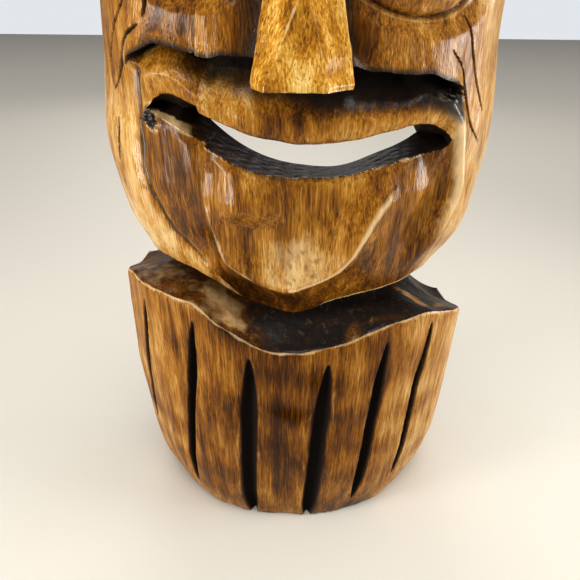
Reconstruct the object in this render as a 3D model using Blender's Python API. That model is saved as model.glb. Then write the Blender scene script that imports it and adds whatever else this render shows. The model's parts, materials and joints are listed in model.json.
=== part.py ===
"""Carved wooden tiki figure, built as separate glued and doweled blocks.

The figure faces -Y and stands on z = 0. A hollow-backed head with a smiling through-mouth
sits on a half-round fluted plinth. A wedge nose is doweled into a bed in the face, and a
crest of upright leaves is doweled on top. A strap hanger with a swinging ring is screwed
into a pocket in the back. Depths are measured forwards from the flat back of the figure.
"""
import math

import bmesh
import bpy
import numpy as np

# ---- driving dimensions (metres) ----
TALL = 0.600
DEPTH = 0.132
BACK_Y = DEPTH / 2
LEAN = -0.09
GLUE_GAP = 0.0004
ROUNDNESS = 2.2

# plinth: (height, half width, depth) from the foot up
PLINTH_PROFILE = [
    (0.000, 0.1240, 0.1130), (0.012, 0.1320, 0.1160), (0.035, 0.1405, 0.1180), (0.070, 0.1455, 0.1185),
    (0.130, 0.1460, 0.1180), (0.180, 0.1440, 0.1165), (0.235, 0.1410, 0.1150),
]
CORNER_ROUND = 0.09
CORNER_REACH = 0.060
# rim of the plinth's top: (across, up) in millimetres from the left back corner to the right one
RIM = [(-143, 213), (-134, 226), (-120, 231), (-80, 231), (-68, 227), (-54, 217), (-32, 202.5),
       (-18, 198), (4, 197.5), (27, 203), (41, 206.5), (53, 213), (66, 216), (96, 216.5), (112, 209),
       (134, 193), (143, 178)]
NECK_Z = 0.222
NECK_SHARE = 0.64
NECK_INSET = 0.02
COVE = 1.6

# grooves: (top angle, foot angle, top height, foot height, widest) round the half-round front
GROOVES = [
    (138.5, 148, 0.216, 0.080, 0.009), (118, 128.5, 0.212, 0.028, 0.011),
    (101.5, 105.5, 0.188, -0.004, 0.014), (83, 84.5, 0.184, -0.004, 0.014),
    (66.5, 68.5, 0.198, 0.028, 0.011), (49, 52.5, 0.203, 0.045, 0.010),
]
GROOVE_DEPTH = 0.009
GROOVE_LEAST = 0.002
GROOVE_PROUD = 0.004

# head: (height, half width, depth) from the chin up
HEAD_PROFILE = [
    (0.217, 0.1005, 0.0940), (0.228, 0.1070, 0.0985), (0.243, 0.1160, 0.1040), (0.263, 0.1280, 0.1065),
    (0.282, 0.1335, 0.1080), (0.316, 0.1345, 0.1085), (0.344, 0.1310, 0.1075), (0.400, 0.1235, 0.1030),
    (0.440, 0.1200, 0.1030), (0.478, 0.1180, 0.0980),
]
HEAD_TOP = 0.478
WALL = 0.026
SIDE_WALL = 0.014
HOLLOW_FLOOR = 0.262
HOLLOW_CEILING = 0.415

# carved lines across the front of the face: (across, up) in millimetres from the left
CHIN_EDGE = [(-112, 238), (-80, 249), (-56, 245), (-38, 229), (-10, 217), (6, 218), (20, 226), (40, 231),
             (75, 241), (112, 222)]
LOWER_LIP = [(-85, 348), (-77, 344), (-61, 338), (-47, 330), (-28, 322), (-10, 317), (12, 316.5), (28, 319),
             (42, 322.5), (56, 326), (72, 329), (80, 336)]
UPPER_LIP = [(-85, 348), (-80, 356), (-70, 358), (-50, 350), (-25, 340), (0, 334.5), (26, 336.5), (54, 342),
             (66, 345.5), (75, 343), (80, 336)]
WINDOW_LOW = [(-57, 345), (-42, 333), (-27, 324), (-10, 318), (15, 315), (27, 316), (47, 324),
              (58, 327), (69, 333)]
WINDOW_HIGH = [(-57, 345), (-50, 347), (-25, 338), (0, 333), (26, 335), (50, 340), (65, 340), (69, 333)]
CHEEK_LEDGE = [(-97, 368), (-77, 380), (-69, 380.5), (-50, 375.5), (-28, 377), (0, 373), (30, 371.5),
               (45, 368.3), (72, 367), (88, 356)]
LEDGE_LEFT = CHEEK_LEDGE[0][0] / 1000
LEDGE_RIGHT = CHEEK_LEDGE[-1][0] / 1000
LINE_SOFT = 0.004
CORNER_POCKET = 0.014
LIP_RECESS = 0.009
LIP_TALL = 0.034
LIP_FADE = 0.008
UNDERCUT = 0.006
UNDERCUT_SHARE = 0.4
EYE_X = 0.054
EYE_Z = 0.419
EYE_HALF_W = 0.036
EYE_HALF_H = 0.021
EYE_DEPTH = 0.011
EYEBALL_SHARE = 0.6
BROW_X = 0.045
BROW_Z = 0.449
BROW_END = 0.112
BROW_ARCH = 2.2
BROW_TALL = 0.007
BROW_RISE = 0.006
PANEL_HALF = 0.056
PANEL_LOW = 0.236
PANEL_WIDEST = 0.300
PANEL_HIGH = 0.334
PANEL_RISE = 0.004

NOSE_FOOT = 0.364
NOSE_TOP = 0.446
NOSE_BED = 0.0900
NOSE_HALF_FOOT = 0.025
NOSE_HALF_TOP = 0.010
NOSE_SLOPE = 0.022
NOSE_DIP = 0.004
NOSE_BEVEL = 0.012
# front facet of the nose: distance across at its foot and above the height share where it closes
FACET_LEFT = (-0.0185, -0.0020)
FACET_RIGHT = (0.0115, 0.0030)
FACET_CLOSES = 0.45

CREST_TOP_HALF = 0.128
CREST_FALL = 0.026
CREST_THIN = 0.026
BAND_TALL = 0.024
BAND_PROUD = 0.004
LEAF_COUNT = 7
LEAF_NOTCH = 0.030
LEAF_SWELL = 0.007

DOWEL_R = 0.008
DOWEL_CLEAR = 0.0004
DOWEL_Y = BACK_Y - 0.036
NECK_DOWEL_X = 0.045
NECK_DOWEL_LONG = 0.056
CREST_DOWEL_X = 0.055
CREST_DOWEL_LONG = 0.050
NOSE_DOWEL_R = 0.004
NOSE_DOWEL_LONG = 0.026
NOSE_DOWEL_Z = (0.380, 0.426)

POCKET_HALF = 0.017
POCKET_LOW = 0.425
POCKET_HIGH = 0.473
POCKET_DEEP = 0.010
RING_Z = 0.449
WIRE_R = 0.00125
RING_HALF = 0.0090
RING_DROP = 0.0175
RING_CORNER = 0.0035
STRAP_HALF = 0.0050
STRAP_THICK = 0.0012
STRAP_CLEAR = 0.0003
STRAP_TAIL = 0.021
SCREW_Z = (0.4570, 0.4650)
SCREW_R = 0.0012
# screw: (radius, height) from the top of its head to its point
SCREW_PROFILE = [(0.0012, 0.0026), (0.0022, 0.0021), (0.0026, 0.0016), (0.0026, 0.0), (0.0012, 0.0),
                 (0.0012, -0.0100), (0.0002, -0.0125)]

# grid densities
HEAD_COLUMNS = 40
JAW_ROWS = 8
FACE_ROWS = 19
PLINTH_COLUMNS = 36
LEAF_COLUMNS = 6


# ---- small helpers ----
def smooth(low, high, value):
    """0 below low, 1 above high, and an S curve between."""
    t = np.clip((value - low) / (high - low), 0.0, 1.0)
    return t * t * (3 - 2 * t)


def profile(table, height):
    """Half width and depth of a profile table at the given heights."""
    rows = np.array(table)
    return np.interp(height, rows[:, 0], rows[:, 1]), np.interp(height, rows[:, 0], rows[:, 2])


def carved_line(points, x):
    """Height of a line carved across the face, at the given distances across (metres)."""
    line = np.array(points) / 1000
    return np.interp(x, line[:, 0], line[:, 1])


def half_round(half_width, depth, angle):
    """Point of a squared-off half ellipse: x across, d forwards from the back."""
    power = 2 / ROUNDNESS
    x = half_width * np.sign(np.cos(angle)) * np.abs(np.cos(angle)) ** power
    d = depth * np.abs(np.sin(angle)) ** power
    return x, d


def angles(count):
    """Angles from the right back edge round the front to the left back edge."""
    a = np.linspace(0.0, math.pi, count + 1)
    a[-1] = math.pi
    return a


def clean_ends(d):
    """The first and last columns lie exactly on the back plane."""
    d[..., 0] = 0.0
    d[..., -1] = 0.0
    return d


def grid_points(x, d, z):
    """Stacks x, depth and height arrays into world points."""
    return np.stack([x, BACK_Y - d, z], axis=-1)


def straight_back(curve):
    """A straight row of points across the back, from one end of a curve to the other."""
    share = np.linspace(0.0, 1.0, len(curve))[:, None]
    return curve[0] * (1 - share) + curve[-1] * share


class Solid:
    """Collects grids of points as quads and closes them into one mesh."""

    def __init__(self):
        self.points = []
        self.faces = []
        self.count = 0

    def add_grid(self, points):
        rows, columns = points.shape[:2]
        index = self.count + np.arange(rows * columns).reshape(rows, columns)
        self.points.append(points.reshape(-1, 3))
        self.count += rows * columns
        for r in range(rows - 1):
            for c in range(columns - 1):
                self.faces.append((index[r, c], index[r, c + 1], index[r + 1, c + 1], index[r + 1, c]))

    def build(self, name, fill=False):
        mesh = bpy.data.meshes.new(name)
        mesh.from_pydata(np.concatenate(self.points).tolist(), [], [tuple(map(int, f)) for f in self.faces])
        bm = bmesh.new()
        bm.from_mesh(mesh)
        bmesh.ops.remove_doubles(bm, verts=bm.verts, dist=1e-6)
        if fill:
            bmesh.ops.holes_fill(bm, edges=[e for e in bm.edges if e.is_boundary], sides=0)
        bmesh.ops.recalc_face_normals(bm, faces=bm.faces)
        bm.to_mesh(mesh)
        bm.free()
        return new_object(name, mesh)


def new_object(name, mesh):
    obj = bpy.data.objects.new(name, mesh)
    bpy.context.scene.collection.objects.link(obj)
    return obj


def loft(name, sections, loop=False):
    """Skins a run of equal outlines; the ends are capped unless the run closes on itself."""
    bm = bmesh.new()
    rings = [[bm.verts.new(point) for point in section] for section in sections]
    following = rings[1:] + rings[:1] if loop else rings[1:]
    for here, there in zip(rings, following):
        for k in range(len(here)):
            after = (k + 1) % len(here)
            bm.faces.new((here[k], here[after], there[after], there[k]))
    if not loop:
        bm.faces.new(rings[0])
        bm.faces.new(rings[-1])
    bmesh.ops.recalc_face_normals(bm, faces=bm.faces)
    mesh = bpy.data.meshes.new(name)
    bm.to_mesh(mesh)
    bm.free()
    return new_object(name, mesh)


def paint(obj, name, colour, roughness, metallic=0.0):
    """Gives the object its own Principled material."""
    material = bpy.data.materials.new(name)
    material.use_nodes = True
    shader = material.node_tree.nodes["Principled BSDF"]
    shader.inputs["Base Color"].default_value = (*colour, 1.0)
    shader.inputs["Roughness"].default_value = roughness
    shader.inputs["Metallic"].default_value = metallic
    obj.data.materials.clear()
    obj.data.materials.append(material)


def shade(obj, degrees=35):
    obj.data.shade_smooth()
    obj.data.set_sharp_from_angle(angle=math.radians(degrees))


def cut(target, cutter):
    """Cuts the cutter out of the target and keeps the cutter as a hidden guide."""
    modifier = target.modifiers.new("cut_" + cutter.name, "BOOLEAN")
    modifier.operation = "DIFFERENCE"
    modifier.solver = "EXACT"
    modifier.object = cutter
    cutter.hide_render = True
    cutter.display_type = "WIRE"


def cylinder(name, radius, length, centre, axis="Z", sides=24):
    """A plain round rod along one axis."""
    mesh = bpy.data.meshes.new(name)
    bm = bmesh.new()
    bmesh.ops.create_cone(bm, cap_ends=True, segments=sides, radius1=radius, radius2=radius, depth=length)
    bm.to_mesh(mesh)
    bm.free()
    obj = new_object(name, mesh)
    obj.location = centre
    if axis == "Y":
        obj.rotation_euler = (math.pi / 2, 0, 0)
    return obj


def block(name, low, high):
    """A box between two corners."""
    mesh = bpy.data.meshes.new(name)
    bm = bmesh.new()
    bmesh.ops.create_cube(bm, size=1.0)
    size = np.array(high) - np.array(low)
    bmesh.ops.scale(bm, vec=size, verts=bm.verts)
    bm.to_mesh(mesh)
    bm.free()
    obj = new_object(name, mesh)
    obj.location = (np.array(high) + np.array(low)) / 2
    return obj


# ---- plinth ----
def plinth_section(height, angle):
    """Point of the plinth's outline: a half round whose back corners are rounded over."""
    half_width, depth = profile(PLINTH_PROFILE, height)
    x, d = half_round(half_width, depth, angle)
    return x * (1 - CORNER_ROUND * smooth(CORNER_REACH, 0.0, d)), d


def plinth_solid():
    angle = angles(PLINTH_COLUMNS)
    nominal_x, _ = half_round(PLINTH_PROFILE[-2][1], 1.0, angle)
    rim = carved_line(RIM, nominal_x)
    share = np.array([0.0, 0.06, 0.16, 0.30, 0.45, 0.60, 0.75, 0.90, 0.97, 1.0])[:, None]
    height = share * rim[None, :]
    x, d = plinth_section(height, angle[None, :])
    side = grid_points(x, clean_ends(d), height)

    scale = np.linspace(1.0, NECK_SHARE, 6)[:, None]
    rise = ((1 - scale) / (1 - NECK_SHARE)) ** COVE
    top_d = clean_ends(d[-1:] * scale)
    neck = NECK_Z + LEAN * x[-1:] * scale
    top_z = height[-1:] * (1 - rise) + neck * rise
    top = grid_points(x[-1:] * scale, top_d, top_z)
    plateau = np.stack([top[-1], straight_back(top[-1])])
    foot = np.stack([straight_back(side[0]), side[0]])

    solid = Solid()
    for grid in (foot, side, top, plateau):
        solid.add_grid(grid)
    return solid.build("plinth", fill=True)


def groove_cutter(name, top_angle, foot_angle, top_z, foot_z, widest):
    """A V-shaped sliver that follows the plinth's front, pointed at its top."""
    share = np.linspace(0.0, 1.0, 9)
    height = top_z + (foot_z - top_z) * share
    angle = np.radians(top_angle + (foot_angle - top_angle) * share)
    half = 0.5 * widest * np.clip(1.25 * np.sqrt(share) - 0.25 * share, 0.04, 1.0)
    deep = GROOVE_DEPTH * smooth(-0.05, 0.35, share)
    sections = []
    for i in range(len(share)):
        here = np.array(plinth_section(height[i], angle[i]))
        along = np.array(plinth_section(height[i], angle[i] + 0.01)) - here
        along /= np.linalg.norm(along)
        out = np.array([along[1], -along[0]])
        flare = 1 + GROOVE_PROUD / max(deep[i], GROOVE_LEAST)
        corners = [here + out * GROOVE_PROUD - along * half[i] * flare, here - out * deep[i],
                   here + out * GROOVE_PROUD + along * half[i] * flare]
        sections.append([(cx, BACK_Y - cd, height[i]) for cx, cd in corners])
    return loft(name, sections)


def make_plinth():
    plinth = plinth_solid()
    for i, groove in enumerate(GROOVES):
        cut(plinth, groove_cutter("groove_%d" % (i + 1), *groove))
    paint(plinth, "plinth_wood", (0.30, 0.13, 0.035), 0.25)
    shade(plinth)
    return plinth


# ---- head ----
def face_relief(x, z):
    """How far the carved face stands in front of (+) or behind (-) the plain half round."""
    away = np.abs(x)
    upright = z - LEAN * x
    below = z - carved_line(CHEEK_LEDGE, x)
    inside = smooth(LEDGE_LEFT - LINE_SOFT, LEDGE_LEFT + LINE_SOFT, x)
    inside = inside * smooth(LEDGE_RIGHT + LINE_SOFT, LEDGE_RIGHT - LINE_SOFT, x)
    upper_lip = inside * smooth(LINE_SOFT, -LINE_SOFT, below) * smooth(-LIP_TALL, -LIP_FADE, below)
    panel_half = PANEL_HALF * smooth(PANEL_LOW, PANEL_WIDEST, upright) ** 0.5
    panel = smooth(LINE_SOFT, -LINE_SOFT, away - panel_half)
    panel = panel * smooth(PANEL_HIGH, PANEL_HIGH - 0.012, upright)
    panel = panel * smooth(0.0, PANEL_HALF, away)
    reach = np.hypot((away - EYE_X) / EYE_HALF_W, (upright - EYE_Z) / EYE_HALF_H)
    socket = smooth(1.35, 0.8, reach) - EYEBALL_SHARE * smooth(0.9, 0.2, reach)
    brow = np.exp(-((upright - BROW_Z + BROW_ARCH * (away - BROW_X) ** 2) / BROW_TALL) ** 2)
    brow = brow * smooth(BROW_END, BROW_END - 0.022, away)
    return PANEL_RISE * panel - LIP_RECESS * upper_lip - EYE_DEPTH * socket + BROW_RISE * brow


def head_grids():
    """Outer, inner and throat grids of the hollow-backed head."""
    angle = angles(HEAD_COLUMNS)
    mouth_half, _ = profile(HEAD_PROFILE, LOWER_LIP[0][1] / 1000)
    column_x, _ = half_round(mouth_half, 1.0, angle)
    low, high = carved_line(LOWER_LIP, column_x), carved_line(UPPER_LIP, column_x)
    chin = carved_line(CHIN_EDGE, column_x * HEAD_PROFILE[0][1] / mouth_half)
    jaw_share = np.linspace(0.0, 1.0, JAW_ROWS)[:, None]
    face_share = np.linspace(0.0, 1.0, FACE_ROWS)[:, None]
    jaw_z = chin + (low - chin) * jaw_share
    face_z = high + (HEAD_TOP - high) * face_share
    height = np.concatenate([jaw_z, face_z])
    half_width, depth = profile(HEAD_PROFILE, height)
    x, d = half_round(half_width, depth, angle[None, :])
    relief = face_relief(x, height) * np.sin(angle)[None, :]
    d = d + relief
    outer = grid_points(x, clean_ends(d), height)

    foot_x, foot_d = np.array(plinth_section(NECK_Z, angle)) * (NECK_SHARE - NECK_INSET)
    footprint = grid_points(foot_x, clean_ends(foot_d), NECK_Z + GLUE_GAP + LEAN * foot_x)

    inner_x = column_x * (1 - SIDE_WALL / mouth_half)
    low_in, high_in = carved_line(WINDOW_LOW, inner_x), carved_line(WINDOW_HIGH, inner_x)
    ceiling = HOLLOW_CEILING + 0 * low_in
    floor = HOLLOW_FLOOR + 0 * low_in
    inner_z = np.concatenate([floor + (low_in - floor) * jaw_share,
                              high_in + (ceiling - high_in) * face_share])
    inner_half, inner_depth = profile(HEAD_PROFILE, inner_z)
    along = (2 * inner_z - HOLLOW_FLOOR - HOLLOW_CEILING) / (HOLLOW_CEILING - HOLLOW_FLOOR)
    scoop = np.clip(1 - np.abs(along) ** 3, 0.0, 1.0) ** 0.5
    inner_x, inner_d = half_round((inner_half - SIDE_WALL) * (0.75 + 0.25 * scoop),
                                  (inner_depth - WALL) * scoop, angle[None, :])
    inner = grid_points(inner_x, clean_ends(inner_d), inner_z)
    return footprint, outer, inner


def open_columns(grid):
    """The columns where a slot is open, with the closed column on either side of it."""
    gap = np.linalg.norm(grid[JAW_ROWS - 1] - grid[JAW_ROWS], axis=1)
    columns = np.where(gap > 1e-6)[0]
    return np.arange(columns[0] - 1, columns[-1] + 2)


def throat_grids(outer, inner):
    """Walls of the mouth: through to the hollow in the middle, blind pockets at the corners."""
    columns = open_columns(outer)
    through = np.isin(columns, open_columns(inner))[:, None]
    blind = (outer[JAW_ROWS - 1, columns] + outer[JAW_ROWS, columns]) / 2
    blind[1:-1, 1] += CORNER_POCKET
    share = np.linspace(0.0, 1.0, 4)[:, None, None]
    grids = []
    for row in (JAW_ROWS - 1, JAW_ROWS):
        start = outer[row, columns]
        end = np.where(through, inner[row, columns], blind)
        grids.append(start * (1 - share) + end * share)
    return grids


def head_solid():
    footprint, outer, inner = head_grids()
    to_back = [1, 0, 1]
    at_back = [0, BACK_Y, 0]
    solid = Solid()
    in_front = footprint[:, 1:2] < BACK_Y
    undercut = footprint * (1 - UNDERCUT_SHARE) + outer[0] * UNDERCUT_SHARE
    undercut = undercut + np.array([0, 0, UNDERCUT]) * in_front
    solid.add_grid(np.stack([footprint, undercut, outer[0]]))
    solid.add_grid(np.stack([straight_back(footprint), footprint]))
    solid.add_grid(np.stack([straight_back(footprint), inner[0]]))
    solid.add_grid(np.stack([outer[-1] * to_back + at_back, outer[-1]]))
    solid.add_grid(np.stack([outer[-1] * to_back + at_back, inner[-1]]))
    for grid in (outer, inner):
        solid.add_grid(grid[:JAW_ROWS])
        solid.add_grid(grid[JAW_ROWS:])
    for column in (0, -1):
        edge_out = np.concatenate([footprint[None, column], undercut[None, column], outer[:, column]])
        edge_in = np.concatenate([inner[:1, column], inner[:1, column], inner[:, column]])
        solid.add_grid(np.stack([edge_out, edge_in]))
    for grid in throat_grids(outer, inner):
        solid.add_grid(grid)
    return solid.build("head")


def make_head(nose_bed):
    head = head_solid()
    cut(head, nose_bed)
    cut(head, block("hanger_pocket", (-POCKET_HALF, BACK_Y - POCKET_DEEP, POCKET_LOW),
                    (POCKET_HALF, BACK_Y + 0.01, POCKET_HIGH)))
    paint(head, "head_wood", (0.36, 0.16, 0.045), 0.22)
    shade(head)
    return head


# ---- nose ----
def nose_section(share, grow=0.0, reach=0.0):
    """Outline of the nose at a share of its height: back corners, side corners, front facet."""
    half = NOSE_HALF_FOOT + (NOSE_HALF_TOP - NOSE_HALF_FOOT) * share + grow
    front = DEPTH - NOSE_SLOPE * share - NOSE_DIP * math.sin(math.pi * share) + reach
    side = front - NOSE_BEVEL * (1 - share / 3)
    narrow = min(1.0, share / FACET_CLOSES)
    left = FACET_LEFT[0] * (1 - narrow) + FACET_LEFT[1] * narrow
    right = FACET_RIGHT[0] * (1 - narrow) + FACET_RIGHT[1] * narrow
    back = NOSE_BED - grow
    return [(-half, back), (-half, side), (left, front), (right, front), (half, side), (half, back)]


def nose_body(name, grow=0.0, reach=0.0):
    """The wedge of the nose, lofted up from its foot."""
    sections = []
    for share in np.linspace(0.0, 1.0, 7):
        z = NOSE_FOOT + (NOSE_TOP - NOSE_FOOT) * share + grow * (2 * share - 1)
        sections.append([(x, BACK_Y - d, z) for x, d in nose_section(share, grow, reach)])
    return loft(name, sections)


def make_nose():
    nose = nose_body("nose")
    paint(nose, "nose_wood", (0.45, 0.21, 0.06), 0.2)
    shade(nose, 12)
    return nose


# ---- crest ----
def leaf_edge(share):
    """0 on a leaf's midrib and 1 on the line between two leaves, at a share of the way round."""
    return np.abs(2 * ((LEAF_COUNT * share) % 1.0) - 1)


def make_crest():
    """Upright leaves on a plain headband; the middle leaf is the tallest."""
    share_round = np.linspace(0.0, 1.0, LEAF_COUNT * LEAF_COLUMNS + 1)
    angle = angles(LEAF_COUNT * LEAF_COLUMNS)
    edge = leaf_edge(share_round)
    base_half, base_depth = profile(HEAD_PROFILE, HEAD_TOP)
    tip_x, _ = half_round(CREST_TOP_HALF, 1.0, angle)
    tips = TALL - CREST_FALL * (tip_x / CREST_TOP_HALF) ** 2 - LEAF_NOTCH * edge ** 1.4
    foot = HEAD_TOP + GLUE_GAP
    band = BAND_TALL / (TALL - foot)
    share = np.array([0.0, band, band + 0.001, 0.40, 0.60, 0.80, 0.93, 1.0])[:, None]
    on_band = share <= band
    height = foot + np.where(on_band, share * (TALL - foot), share * (tips - foot))
    flare = smooth(band, 0.95, share)
    proud = np.where(on_band, BAND_PROUD, LEAF_SWELL * (1 - edge ** 2))
    half_width = base_half + (CREST_TOP_HALF - base_half) * flare + BAND_PROUD * on_band
    depth = base_depth - BAND_PROUD - CREST_THIN * flare
    x, d = half_round(half_width, depth, angle[None, :])
    front = grid_points(x, clean_ends(d + proud * np.sin(angle)), height)
    solid = Solid()
    solid.add_grid(np.stack([front[0] * [1, 0, 1] + [0, BACK_Y, 0], front[0]]))
    solid.add_grid(front)
    solid.add_grid(np.stack([front[-1], front[-1] * [1, 0, 1] + [0, BACK_Y, 0]]))
    crest = solid.build("crest", fill=True)
    paint(crest, "crest_wood", (0.30, 0.13, 0.035), 0.25)
    shade(crest)
    return crest


# ---- dowels ----
def make_dowel(name, radius, length, centre, axis, hosts):
    """A dowel, and a slightly larger hole for it in each piece that it joins."""
    dowel = cylinder(name, radius, length, centre, axis)
    hole = cylinder(name + "_hole", radius + DOWEL_CLEAR, length + 0.002, centre, axis)
    for host in hosts:
        cut(host, hole)
    paint(dowel, name + "_wood", (0.62, 0.44, 0.24), 0.6)
    shade(dowel)


# ---- hanger ----
def make_strap(axis_y):
    """Strap folded round the ring's bar, with its tail flat on the pocket's floor."""
    inner = WIRE_R + STRAP_CLEAR
    outer = inner + STRAP_THICK
    bend = np.radians(np.linspace(-180, 90, 15))
    outside = [(axis_y + outer * math.cos(a), RING_Z + outer * math.sin(a)) for a in bend]
    inside = [(axis_y + inner * math.cos(a), RING_Z + inner * math.sin(a)) for a in bend[::-1]]
    tail = RING_Z + STRAP_TAIL
    outline = [(axis_y - outer, tail)] + outside + inside + [(axis_y - inner, tail)]
    strap = loft("hanger_strap", [[(x, y, z) for y, z in outline] for x in (-STRAP_HALF, STRAP_HALF)])
    paint(strap, "strap_brass", (0.70, 0.52, 0.25), 0.35, 1.0)
    shade(strap)
    return strap


def make_screw(name, seat, z, hosts):
    """A pan-head screw through the strap into the head; its origin is under its head."""
    around = np.linspace(0.0, 2 * math.pi, 16, endpoint=False)
    sections = [[(r * math.cos(a), h, r * math.sin(a)) for a in around] for r, h in SCREW_PROFILE]
    screw = loft(name, sections)
    screw.location = (0, seat, z)
    hole = cylinder(name + "_hole", SCREW_R + DOWEL_CLEAR, 0.030, (0, seat, z), "Y", 16)
    for host in hosts:
        cut(host, hole)
    paint(screw, name + "_steel", (0.62, 0.60, 0.56), 0.35, 1.0)
    shade(screw)


def ring_path():
    """Centre line of the D-shaped wire: a straight bar, two small corners and a round bow."""
    reach = RING_HALF - RING_CORNER
    corner = [(reach + RING_CORNER * math.cos(a), -RING_CORNER + RING_CORNER * math.sin(a))
              for a in np.radians([90, 75, 60, 45, 30, 15])]
    bow = [(RING_HALF * math.cos(a), RING_HALF - RING_DROP + RING_HALF * math.sin(a))
           for a in np.radians(np.arange(0, -181, -15))]
    return corner + bow + [(-x, z) for x, z in corner[::-1]]


def make_ring(axis_y):
    """D-shaped wire ring; its straight bar is the hinge axis and the object's origin."""
    path = np.array(ring_path())
    along = np.roll(path, -1, axis=0) - np.roll(path, 1, axis=0)
    along /= np.linalg.norm(along, axis=1)[:, None]
    around = np.linspace(0.0, 2 * math.pi, 10, endpoint=False)
    sections = []
    for (x, z), (ax, az) in zip(path, along):
        sections.append([(x + az * WIRE_R * math.cos(a), WIRE_R * math.sin(a), z - ax * WIRE_R * math.cos(a))
                         for a in around])
    ring = loft("hanger_ring", sections, loop=True)
    ring.location = (0, axis_y, RING_Z)
    paint(ring, "ring_brass", (0.72, 0.55, 0.28), 0.3, 1.0)
    shade(ring)


def main():
    for obj in list(bpy.data.objects):
        bpy.data.objects.remove(obj)
    plinth = make_plinth()
    head = make_head(nose_body("nose_bed", GLUE_GAP, 0.02))
    nose = make_nose()
    crest = make_crest()
    for side, name in ((-1, "left"), (1, "right")):
        neck_z = NECK_Z + LEAN * side * NECK_DOWEL_X
        make_dowel("neck_dowel_" + name, DOWEL_R, NECK_DOWEL_LONG, (side * NECK_DOWEL_X, DOWEL_Y, neck_z),
                   "Z", (plinth, head))
        make_dowel("crest_dowel_" + name, DOWEL_R, CREST_DOWEL_LONG,
                   (side * CREST_DOWEL_X, DOWEL_Y, HEAD_TOP), "Z", (head, crest))
    for name, z in (("lower", NOSE_DOWEL_Z[0]), ("upper", NOSE_DOWEL_Z[1])):
        make_dowel("nose_dowel_" + name, NOSE_DOWEL_R, NOSE_DOWEL_LONG, (0, BACK_Y - NOSE_BED, z), "Y",
                   (head, nose))
    floor = BACK_Y - POCKET_DEEP + GLUE_GAP
    axis_y = floor + WIRE_R + STRAP_CLEAR + STRAP_THICK
    strap = make_strap(axis_y)
    for name, z in (("lower", SCREW_Z[0]), ("upper", SCREW_Z[1])):
        make_screw("hanger_screw_" + name, floor + STRAP_THICK + GLUE_GAP, z, (strap, head))
    make_ring(axis_y)


main()
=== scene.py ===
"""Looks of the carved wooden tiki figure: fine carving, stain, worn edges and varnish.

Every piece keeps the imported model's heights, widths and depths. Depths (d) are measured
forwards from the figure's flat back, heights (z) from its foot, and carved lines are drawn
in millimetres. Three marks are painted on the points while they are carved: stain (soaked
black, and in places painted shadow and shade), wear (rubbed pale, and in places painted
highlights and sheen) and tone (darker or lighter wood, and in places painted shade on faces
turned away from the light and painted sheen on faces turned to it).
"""
import json
import math

import bmesh
import bpy
import numpy as np
from mathutils import Matrix, Vector


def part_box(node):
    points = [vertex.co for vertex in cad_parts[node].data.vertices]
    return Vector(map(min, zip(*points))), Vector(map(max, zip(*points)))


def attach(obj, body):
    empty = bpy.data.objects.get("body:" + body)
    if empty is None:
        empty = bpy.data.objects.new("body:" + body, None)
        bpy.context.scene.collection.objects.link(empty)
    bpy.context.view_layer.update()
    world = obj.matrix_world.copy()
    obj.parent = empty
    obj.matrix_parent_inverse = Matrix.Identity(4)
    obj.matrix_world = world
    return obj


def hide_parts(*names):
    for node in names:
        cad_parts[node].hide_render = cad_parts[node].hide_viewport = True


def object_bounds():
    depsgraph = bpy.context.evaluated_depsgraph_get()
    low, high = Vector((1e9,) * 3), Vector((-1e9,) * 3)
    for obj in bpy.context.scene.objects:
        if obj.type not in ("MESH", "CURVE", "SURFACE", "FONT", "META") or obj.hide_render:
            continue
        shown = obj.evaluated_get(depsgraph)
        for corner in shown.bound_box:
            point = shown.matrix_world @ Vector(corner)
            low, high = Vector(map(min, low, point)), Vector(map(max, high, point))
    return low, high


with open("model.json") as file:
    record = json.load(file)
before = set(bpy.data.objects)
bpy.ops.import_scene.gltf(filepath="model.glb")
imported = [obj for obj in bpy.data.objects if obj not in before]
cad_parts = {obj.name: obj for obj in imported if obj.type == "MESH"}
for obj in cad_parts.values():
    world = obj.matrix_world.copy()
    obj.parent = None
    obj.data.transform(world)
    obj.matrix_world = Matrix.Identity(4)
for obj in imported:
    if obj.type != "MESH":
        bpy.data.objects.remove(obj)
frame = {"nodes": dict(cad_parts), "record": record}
cad_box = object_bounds()

MM = 0.001
BACK_Y = cad_box[1].y
TALL = cad_box[1].z
DEPTH = cad_box[1].y - cad_box[0].y
HEAD_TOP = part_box("head")[1].z
SLOTS = {material["slot"]: material for material in frame["record"]["materials"]}

# ---- block shapes: (height, half width, depth) in mm from the foot up ----
ROUNDNESS = 2.2
LEAN = -0.09
PLINTH_PROFILE = [(0, 124, 113), (12, 132, 116), (35, 140.5, 118), (70, 145.5, 118.5), (130, 146, 118),
                  (180, 144, 116.5), (235, 141, 115)]
CORNER_ROUND, CORNER_REACH = 0.09, 60 * MM
HEAD_PROFILE = [(217, 100.5, 94), (228, 107, 98.5), (243, 116, 104), (263, 128, 106.5),
                (282, 133.5, 108), (316, 134.5, 108.5), (344, 131, 107.5), (400, 123.5, 103),
                (440, 120, 103), (478, 118, 98)]
BEND_ROUND, CARVED_ROUND = 14, 7  # how far corners of profiles and carved lines are rounded

# ---- necks and hollows, in metres; a span is a (half width, depth) that places the columns ----
PLINTH_SPAN, HEAD_SPAN = (0.144, 0.117), (0.132, 0.107)
NECK_Z = 222 * MM
NECK_SHARE, NECK_INSET = 0.64, 0.02
COVE = 1.6
GLUE_GAP = 0.4 * MM
WALL, SIDE_WALL = 26 * MM, 14 * MM
HOLLOW = (262 * MM, 415 * MM)
POCKET_HALF, POCKET_DEEP = 17 * MM, 10 * MM
POCKET_HEIGHTS = (425 * MM, 473 * MM)

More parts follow.
